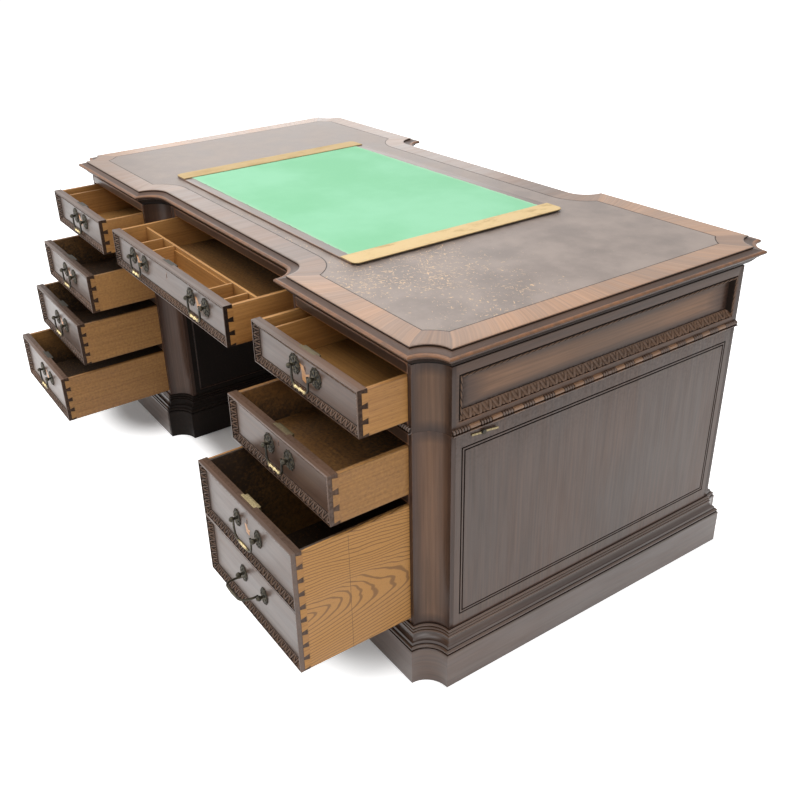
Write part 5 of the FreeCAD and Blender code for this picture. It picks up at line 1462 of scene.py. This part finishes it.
# %% Drawers of the back, and runners
for name in BACK_DRAWERS:
    low, high = span(f"{name}_drawer")
    drawer = Form()
    carved_front(drawer, name, "back", high[1], low[0], high[0], low[2], high[2])
    front_marks(drawer, name, "back", high[1], -1)
    dovetails(drawer, low[0], high[0], high[1], -1, low[2], high[2] - SIDE_DROP, 1)
    drawer_box(drawer, low, high - (0, FRONT_THICKNESS * MM, SIDE_DROP), -1, 1)
    stand_for(f"{name}_drawer", drawer, [worn_mahogany, oak, dull_mahogany])
NODES["drawer_runners"].data.materials.clear()
NODES["drawer_runners"].data.materials.append(runner_oak)
print("back drawers and runners done")

# %% [markdown]
# The cupboard doors in the back have a frame and a sunk panel with a plain moulding. They are framed faces
# too.

# %% Doors
door_rows = [frame_row(0, -22), frame_row(0, -1), frame_row(0.8, 0, wear=0.8, tone=0.2),
             frame_row(6, 0, tone=0.2), frame_row(40, 0, tone=0.25), frame_row(41, -1.5, dirt=1),
             frame_row(42, -0.6, wear=0.7), frame_row(45, -1.2, wear=0.6), frame_row(50, -5.5),
             frame_row(54, -9, dirt=0.4), frame_row(56, -10, dirt=0.8), frame_row(60, -10, tone=0.3)]
for name in ("left", "right"):
    low, high = span(f"{name}_door")
    door = Form()
    middle, size = (low + high) / 2, high - low
    framed(door, facing("back", (middle[0], high[1], middle[2])), size[0], size[2], door_rows, PLAIN_STEP,
           upright=True)
    stand_for(f"{name}_door", door, [mahogany])
print("doors done")

# %% [markdown]
# The handles are cast brass that has gone nearly black, and bright again where hands hold it. A tone at
# each point runs from dark patina to polished metal; noise breaks the border between them. Locks, hinges,
# knobs and the catch are brass that was never left to darken, so they share the finish at a brighter tone.

# %% Brass and bronze
PATINA = (0.022, 0.020, 0.015, 1)
BRONZE = (0.20, 0.16, 0.09, 1)
BRIGHT_BRASS = (0.84, 0.68, 0.36, 1)


def metal_finish(name):
    """Old brass, from patina at tone 0 to polish at tone 1."""
    material, tree, shader = new_material(name, metallic=1.0)
    place = add_node(tree, "ShaderNodeTexCoord", {}).outputs["Object"]
    tone, wear, dirt = (attribute(tree, mark) for mark in ("tone", "wear", "dirt"))
    aging_and_shade = use_group(tree, aging_and_shade_group, {"Place": place, "Wear": wear, "Dirt": dirt})
    spots = noise(tree, place, (300, 300, 300), detail=3)
    polish = sum_of(tree, "ADD", tone, sum_of(tree, "MULTIPLY", aging_and_shade.outputs["Worn"], 0.3))
    polish = sum_of(tree, "ADD", polish, ramp(tree, spots, 0.2, 0.8, -0.1, 0.1), clamp=True)
    colour = blend(tree, ramp(tree, polish, 0.0, 0.5), PATINA, BRONZE)
    colour = blend(tree, ramp(tree, polish, 0.4, 1.0), colour, BRIGHT_BRASS)
    colour = blend(tree, sum_of(tree, "MULTIPLY", aging_and_shade.outputs["Grime"], 0.9), colour, BLACK_DIRT_AND_SHADE)
    feed(tree, shader.inputs["Base Color"], colour)
    feed(tree, shader.inputs["Roughness"], ramp(tree, polish, 0.0, 1.0, 0.5, 0.36))
    feed(tree, shader.inputs["Metallic"], ramp(tree, polish, 0.0, 0.45, 0.45, 1.0))
    bump(tree, shader, spots, 0.03 * MM)
    return material


bronze = metal_finish("dark_bronze")
brass = metal_finish("brass")
print("materials", bronze.name, brass.name)

# %% [markdown]
# A handle has two pierced leaf plates, a turned post with a round head on each, and a bail between the
# heads. A plate is a relief over an oval, worked out in polar coordinates. The posts are turned profiles.
# The bail is a tube along a path, and its radius swells into beads where it is gripped.

# %% Pierced plates
PLATE_STEPS = 72


def rosette(form, put, half_u, half_v, thickness):
    """A pierced plate: at angle a its edge is scalloped by 1 + 0.06 cos 12a. Two rims, six leaves and a boss
    stand up; two rows of piercings between them go down to the wood."""
    angle = around(PLATE_STEPS)
    share = np.concatenate([np.linspace(0.02, 0.94, 18), [0.97, 1.0]])[:, None]
    edge = 1 + 0.06 * np.cos(12 * angle) * share ** 2
    leaf = ridge(share - 0.48, 0.2) * np.abs(np.cos(3 * angle)) ** 0.7
    rim = ridge(share - 0.93, 0.06) + ridge(share - 0.70, 0.045)
    inner_holes = ridge(share - 0.5, 0.13) * np.clip(1.6 * np.sin(3 * angle) ** 2 - 0.6, 0, 1)
    outer_holes = ridge(share - 0.81, 0.055) * np.clip(1.7 * np.cos(6 * angle) ** 2 - 0.5, 0, 1)
    holes = np.clip(1.3 * (inner_holes + outer_holes), 0, 1)
    height = 0.4 + 0.45 * rim + 0.5 * leaf + 0.6 * ridge(share, 0.2)
    height = np.clip(height * (1 - 0.95 * holes), 0.05, 1.0)
    height[-1] = 0.12
    u, v = half_u * share * edge * np.cos(angle), half_v * share * edge * np.sin(angle)
    w = thickness * height
    points = np.concatenate([put(u, v, w), put(u[-1:], v[-1:], 0 * w[-1:])])
    tone = np.concatenate([np.clip(0.34 * height ** 3, 0, 1), 0 * height[-1:]])
    # The piercings and the plate's edge on the wood are painted dark: painted shade in the holes, with dirt.
    dirt = np.concatenate([np.clip(1.4 * holes + 0.2, 0, 1), 1 + 0 * height[-1:]])
    form.grid(points, points, loop=True, caps=(0, -1), tone=tone, dirt=dirt)


trial = Form()
rosette(trial, facing("front", (0, 0, 0)), 1, 1, 1)
print("a plate has", trial.count, "points")

# %% Turned posts and bails
TURNED_STEPS = 20


def turned(form, put, profile, tone, skin=0):
    """A turned form: a list of distances out and radii, carried round the w axis."""
    out, radius = np.array(profile, float).T[..., None] * MM
    angle = around(TURNED_STEPS)
    points = put(radius * np.cos(angle), radius * np.sin(angle), out + 0 * angle)
    form.grid(points, points, loop=True, caps=(0, -1), tone=tone, skin=skin)


def sweep(form, path, radius, normal, tone, sides=12):
    """A tube: rings of the given radii set square to a path that lies in the plane with the given normal."""
    tangent = np.gradient(path, axis=0)
    tangent /= np.linalg.norm(tangent, axis=1)[:, None]
    normal = np.array(normal, float)
    across = np.cross(tangent, normal)
    angle = around(sides)
    circle = across[:, None, :] * np.cos(angle)[:, None] + normal * np.sin(angle)[:, None]
    points = path[:, None, :] + radius[:, None, None] * circle
    form.grid(points, points, loop=True, caps=(0, -1), tone=tone)


HEAD, BAIL_GAP, WIRE, DROP, BEND, RISE = 6.0, 0.3, 3.0, 36.0, 14.0, 3.0
GRIP_BEADS = (-0.55, 0.0, 0.55)


def bail_path(spacing, swan):
    """Half of a bail, from its pivot to the middle of its grip, mirrored: an arm that may bow outwards, a
    bend and a straight grip; x across and z up from the pivot, in millimetres."""
    half = spacing / 2 - HEAD - BAIL_GAP - WIRE
    fall = np.linspace(RISE, BEND - DROP, 16)
    arm = np.stack([half + swan * np.sin(np.pi * (RISE - fall) / (RISE + DROP - BEND)), fall], axis=-1)
    angle = np.radians(np.linspace(0, -90, 12))[1:]
    bend = np.stack([half - BEND + BEND * np.cos(angle), BEND - DROP + BEND * np.sin(angle)], axis=-1)
    grip = np.stack([np.linspace(half - BEND, 0, 26)[1:], np.full(25, -DROP)], axis=-1)
    one = np.concatenate([arm, bend, grip])
    return np.concatenate([one * (-1, 1), one[-2::-1]])


def bail_look(form, bail, spacing, plain, angle, way):
    """A bail round its pivot, turned out from hanging by an angle."""
    path = bail_path(spacing, 2.0 if plain else 0.6)
    half = np.abs(path[:, 0]).max()
    across = path[:, 0] / half
    held = np.exp(-np.clip((path[:, 1] + DROP) / 7, 0, None) ** 2)
    if plain:
        radius = 2.3 + 1.2 * held * np.exp(-(across / 0.45) ** 2)
        tone = 0.12 + (0.05 if is_raised(bail) else 0.55) * held * np.exp(-(across / 0.5) ** 4)
    else:
        beads = sum(np.exp(-((across - at) / 0.09) ** 2) for at in GRIP_BEADS)
        necks = sum(np.exp(-((np.abs(across - at) - 0.2) / 0.035) ** 2) for at in GRIP_BEADS)
        radius = 2.5 + held * (1.6 * beads - 0.5 * necks + 0.4)
        tone = 0.06 + 0.66 * held * np.exp(-(across / 0.8) ** 6)
    cos, sin = np.cos(angle), np.sin(angle)
    local = np.stack([path[:, 0], way * -path[:, 1] * sin, path[:, 1] * cos], axis=-1) * MM
    normal = (0, way * cos, sin)
    sweep(form, local + np.array(JOINTS[bail]["pos_m"]), radius * MM, normal, tone[:, None])


SPACING, DEEP_SPACING = 80.0, 90.0
print("a bail follows", len(bail_path(SPACING, 0.0)), "places")

# %% Handles and locks
PLATE, DEEP_PLATE = (19.5, 21.5), (13.5, 20.0)
PLATE_THICKNESS = 3.0
HEAD_TONE = 0.12
post_profile = [(0.5, 4), (3.5, 4), (4.2, 3.2), (7.5, 3.0), (8.6, 3.6), (9.4, 4.9), (11, 5.7), (13.5, 6.0),
                (15.5, 5.6), (17.4, 4.4), (18.7, 2.8), (19.3, 1.0)]
LOCK_SIZE = np.array([56, 9, 34]) * MM
LOCK_TONE = {"right_frieze": 0.3, "right_upper": 0.4, "right_deep": 0.6}
DARK_LOCK = 0.08
SELVEDGE, SELVEDGE_TOP, SELVEDGE_FOOT = 7 * MM, 0.2 * MM, 1 * MM


def drawer_brass(name, face, low_x, high_x, head_z, y_way):
    """Plates, posts and lock of a drawer, and its bails as pieces of their own."""
    fittings = Form()
    side = "front" if y_way > 0 else "back"
    plain = name == "right_deep"
    spacing = DEEP_SPACING if plain else SPACING
    panel = face + y_way * PANEL_DEPTH * MM
    for bail in BAILS[name]:
        x, _, z = JOINTS[bail]["pos_m"]
        for end in (-1, 1):
            put = facing(side, (x + end * spacing / 2 * MM, panel, z))
            half_u, half_v = DEEP_PLATE if plain else PLATE
            rosette(fittings, put, half_u * MM, half_v * MM, PLATE_THICKNESS * MM)
            turned(fittings, put, post_profile, HEAD_TONE)
        look = Form()
        rest = -JOINTS[bail]["range_deg"][0]
        bail_look(look, bail, spacing, plain, np.radians(rest), -y_way)
        stand_for(bail, look, [bronze])
    middle = (low_x + high_x) / 2
    root = face + y_way * FRONT_THICKNESS * MM
    lock_y = sorted((root, root + y_way * LOCK_SIZE[1]))
    lock_tone = LOCK_TONE.get(name, DARK_LOCK)
    plank(fittings, (middle - LOCK_SIZE[0] / 2, lock_y[0], head_z - LOCK_SIZE[2]),
          (middle + LOCK_SIZE[0] / 2, lock_y[1], head_z), 0, tone=lock_tone, wear=0.0, skin=1)
    plate_y = sorted((root, root - y_way * SELVEDGE))
    front_top = head_z + SIDE_DROP
    plank(fittings, (middle - LOCK_SIZE[0] / 2, plate_y[0], front_top - SELVEDGE_FOOT),
          (middle + LOCK_SIZE[0] / 2, plate_y[1], front_top + SELVEDGE_TOP), 0, tone=lock_tone, wear=0.0,
          skin=1)
    stand_for(f"{name}_brass", fittings, [bronze, brass])
    return fittings.count


for name in FRONT_DRAWERS:
    low, high = span(f"{name}_front")
    print(name, "brass", drawer_brass(name, low[1], low[0], high[0], high[2] - SIDE_DROP, 1), "points")
for name in BACK_DRAWERS:
    low, high = span(f"{name}_drawer")
    drawer_brass(name, high[1], low[0], high[0], high[2] - SIDE_DROP, -1)

# %% [markdown]
# The doors hang on brass butt hinges and have a turned knob and a lock inside. The catch on the right end
# is a small plate with a pin, and a hook that turns on it.

# %% Hinges and knobs
KNUCKLE, LEAF, LEAF_THICK = 4.0, 9 * MM, 2 * MM
HINGE = 64 * MM
GAP = 0.3 * MM
KNOB_INSET, LOCK_INSET = 29 * MM, 1 * MM
HINGE_TONE, KNOB_TONE = 0.6, 0.7
knob_profile = [(0, 5), (1.2, 6.5), (2.4, 5), (6, 3.6), (9, 4.4), (12, 8.0), (15, 9.0), (18, 7.6), (19.6, 4),
                (20, 1)]


def upright_at(x, y):
    """Puts a turned form upright on a point of the plan."""
    def put(u, v, w):
        u, v, w = np.broadcast_arrays(u, v, w)
        return np.stack([x + u, y + v, w], axis=-1)
    return put


case_brass = Form()
for sign, name in ((-1, "left"), (1, "right")):
    low, high = span(f"{name}_door")
    door_brass = Form()
    axis_y = BODY_Y + KNUCKLE * MM + GAP
    for foot in (low[2] + HINGE, high[2] - 2 * HINGE):
        for form, start, end, edge in ((case_brass, foot, foot + HINGE / 2 - GAP, sign * (POST_X + LEAF)),
                                       (door_brass, foot + HINGE / 2, foot + HINGE, sign * (POST_X - LEAF))):
            foot_mm, head_mm = start / MM, end / MM
            bar = [(foot_mm, 1), (foot_mm, KNUCKLE - 0.4), (foot_mm + 0.6, KNUCKLE), (head_mm - 0.6, KNUCKLE),
                   (head_mm, KNUCKLE - 0.4), (head_mm, 1)]
            turned(form, upright_at(sign * POST_X, axis_y), bar, HINGE_TONE)
            leaf_x = sorted((sign * POST_X, edge))
            plank(form, (leaf_x[0], BODY_Y, start), (leaf_x[1], BODY_Y + LEAF_THICK, end), 2,
                  tone=HINGE_TONE)
    knob_x = sign * (INNER_POST_X + KNOB_INSET)
    middle_z = (low[2] + high[2]) / 2
    turned(door_brass, facing("back", (knob_x, BODY_Y, middle_z)), knob_profile, KNOB_TONE)
    lock_edge = INNER_POST_X + LOCK_INSET
    lock_x = sorted((sign * lock_edge, sign * (lock_edge + LOCK_SIZE[0])))
    plank(door_brass, (lock_x[0], low[1] - LOCK_SIZE[1], middle_z - LOCK_SIZE[2] / 2),
          (lock_x[1], low[1], middle_z + LOCK_SIZE[2] / 2), 0, tone=KNOB_TONE)
    stand_for(f"{name}_door_brass", door_brass, [brass])
    print(name, "door brass", door_brass.count, "points")

# %% Catch
hook_low, hook_high = span("catch_hook")
catch = JOINTS["catch"]["pos_m"]
CATCH_PLATE, CATCH_WIDTH, CATCH_THICK = 28 * MM, 4.4 * MM, 2.5 * MM
PLATE_TILT, HOOK_TILT, HOOK_ROOT = -0.11, -0.12, 4 * MM
CATCH_TONE, PIN_TONE = 0.5, 0.1
plank(case_brass, (BODY_X, catch[1] - CATCH_PLATE, catch[2] - CATCH_WIDTH / 2),
      (BODY_X + CATCH_THICK, catch[1], catch[2] + CATCH_WIDTH / 2), 1, tone=CATCH_TONE, wear=0.0)
case_brass.points[-1][:, 2] += PLATE_TILT * (case_brass.points[-1][:, 1] - catch[1] + CATCH_PLATE / 2)
put = facing("right", (BODY_X, catch[1], catch[2]))
pin_profile = [(0, 4.9), (2.1, 4.9), (2.5, 4.6), (2.5, 2.5), (5.0, 2.5), (5.3, 2.2), (5.3, 0.8)]
turned(case_brass, put, pin_profile, PIN_TONE)
stand_for("case_brass", case_brass, [brass])
hook = Form()
plank(hook, (hook_low[0], catch[1] + HOOK_ROOT, catch[2] - CATCH_WIDTH / 2),
      (hook_high[0], hook_high[1], catch[2] + CATCH_WIDTH / 2), 1, tone=CATCH_TONE, wear=0.0)
hook.points[-1][:, 2] += HOOK_TILT * (hook.points[-1][:, 1] - hook.points[-1][:, 1].mean())
out = (hook_low[0] - BODY_X) / MM
turn = around(TURNED_STEPS)
eye = np.array([(0, 2.58), (0, 4.7), (0.3, 5.0), (2.2, 5.0), (2.5, 4.7), (2.5, 2.58)]) + (out, 0)
eye_points = put(eye[:, 1:] * MM * np.cos(turn), eye[:, 1:] * MM * np.sin(turn), eye[:, :1] * MM + 0 * turn)
hook.grid(eye_points, eye_points, loop=True, ring=True, tone=PIN_TONE)
stand_for("catch_hook", hook, [brass])
print("catch hook", hook.count, "points")

# %% [markdown]
# A loose blotter lies on the top: a mahogany board, a sheet of green blotting paper that has begun to fray
# and cockle along its edges, and two gilt strips with rounded corners that hold it. The paper is a grid
# with a low wave in it; a strip is a rounded plan with an eased top.

# %% Paper and gilt
PAPER_GREEN = (0.25, 0.56, 0.335, 1)
PAPER_PALE = (0.30, 0.62, 0.40, 1)
PAPER_FIBRE = (0.8, 0.95, 0.82, 1)
PAPER_FRAYED = (0.72, 0.80, 0.66, 1)
GILT = (0.62, 0.46, 0.24, 1)
GILT_WORN = (0.44, 0.31, 0.15, 1)

paper, tree, shader = new_material("green_paper", roughness=0.9)
place = add_node(tree, "ShaderNodeTexCoord", {}).outputs["Object"]
cloudy = noise(tree, place, (3.5, 3.5, 3.5), detail=4, roughness=0.55)
colour = blend(tree, ramp(tree, cloudy, 0.35, 0.65), PAPER_GREEN, PAPER_PALE)
fibres = noise(tree, place, (500, 900, 500), detail=2)
colour = blend(tree, ramp(tree, fibres, 0.62, 0.8, 0.0, 0.25), colour, PAPER_FIBRE)
colour = blend(tree, attribute(tree, "dirt"), colour, PAPER_FRAYED)
feed(tree, shader.inputs["Base Color"], colour)
shader.inputs["Specular IOR Level"].default_value = 0.15
bump(tree, shader, fibres, 0.12 * MM)

gilt, tree, shader = new_material("gilt_strip", metallic=0.25)
place = add_node(tree, "ShaderNodeTexCoord", {}).outputs["Object"]
rub = noise(tree, place, (30, 14, 30), detail=5, roughness=0.65)
aging_and_shade = use_group(tree, aging_and_shade_group, {"Place": place, "Wear": attribute(tree, "wear"),
                                  "Dirt": attribute(tree, "dirt")})
colour = blend(tree, ramp(tree, rub, 0.48, 0.72), GILT, GILT_WORN)
colour = blend(tree, attribute(tree, "tone"), colour, GILT_WORN)
colour = blend(tree, sum_of(tree, "MULTIPLY", aging_and_shade.outputs["Grime"], 0.7), colour, BLACK_DIRT_AND_SHADE)
feed(tree, shader.inputs["Base Color"], colour)
feed(tree, shader.inputs["Roughness"], ramp(tree, rub, 0.3, 0.7, 0.6, 0.75))
shader.inputs["Specular IOR Level"].default_value = 0.25
bump(tree, shader, rub, 0.2 * MM)
print("materials", paper.name, gilt.name)

# %% Board and paper
low, high = span("blotter_board")
board = Form()
plank(board, low, high, 0, tone=0.25)
stand_for("blotter_board", board, [mahogany])

low, high = span("blotter_paper")
PAPER_WAVE = 0.45 * MM
FRAY, FRAY_REACH, FRAY_TURNS = 0.7 * MM, 14 * MM, (61, 143, 317)
x, y = np.linspace(low[0], high[0], 160), np.linspace(low[1], high[1], 110)[:, None]
fray = FRAY * sum(np.sin(x * turns + start) for start, turns in enumerate(FRAY_TURNS))
close = np.exp(-np.minimum(y - low[1], high[1] - y) / FRAY_REACH)
flat_y = y + close * np.where(y < (low[1] + high[1]) / 2, np.abs(fray), -np.abs(fray))
wave = close * PAPER_WAVE * (0.5 + 0.5 * np.sin(x * 37 + 3 * np.sin(x * 11)))
lift = np.clip(high[2] - PAPER_WAVE + wave, low[2] + 0.1 * MM, high[2])
sheet_points = np.stack(np.broadcast_arrays(x, flat_y, lift), axis=-1)
sheet_points = np.concatenate([sheet_points[:, :1], sheet_points, sheet_points[:, -1:]], axis=1)
sheet_points = np.concatenate([sheet_points[:1], sheet_points, sheet_points[-1:]])
rim = np.zeros(sheet_points.shape[:2], dtype=bool)
rim[[0, -1]], rim[:, [0, -1]] = True, True
sheet_points[rim, 2] = low[2]
under_points = sheet_points * (1, 1, 0) + (0, 0, low[2])
frayed = np.pad(np.broadcast_to(close ** 3, (len(y), len(x))), 1, mode="edge")
sheet = Form()
sheet.grid(sheet_points, sheet_points, dirt=0.25 * frayed)
sheet.grid(under_points[:, ::-1], under_points[:, ::-1])
stand_for("blotter_paper", sheet, [paper], weld=HAIR)
print("paper", sheet.count, "points")

# %% Strips
low, high = span("blotter_strips")
strip_low = span("blotter_board")[1][2]
STRIP_WIDTH, STRIP_CORNER, FAR_STRIP = 58 * MM, 16 * MM, 0.7
STRIP_EASE, STRIP_SLOPE, STRIP_CROWN = 0.9 * MM, 4 * MM, 0.1 * MM
strips = Form()
for sign, outer in ((-1, low[0]), (1, high[0])):
    inner = outer - sign * STRIP_WIDTH
    angle = np.radians(np.linspace(0, 90, 9))
    curve_x = outer - sign * STRIP_CORNER * (1 - np.sin(angle))
    curve_y = STRIP_CORNER * (1 - np.cos(angle))
    x = np.concatenate([[inner], curve_x, curve_x[::-1], [inner]])
    y = np.concatenate([[low[1]], low[1] + curve_y, high[1] - curve_y[::-1], [high[1]]])
    middle = np.array([x.mean(), (low[1] + high[1]) / 2])
    plan = np.stack([x, y], axis=-1)
    tight = plan - np.sign(plan - middle) * STRIP_EASE
    tighter = plan - np.sign(plan - middle) * STRIP_SLOPE
    levels = [(plan, strip_low), (plan, high[2] - STRIP_EASE), (tight, high[2] - STRIP_CROWN),
              (tighter, high[2])]
    points = np.stack([np.column_stack([ring, np.full(len(ring), z)]) for ring, z in levels])
    strips.grid(points, points, loop=True, caps=(0, -1), wear=np.array([0, 1.0, 1, 0])[:, None],
                dirt=np.array([1.0, 0.2, 0, 0])[:, None], tone=FAR_STRIP if sign < 0 else 0.0)
stand_for("blotter_strips", strips, [gilt])
print("strips", strips.count, "points")
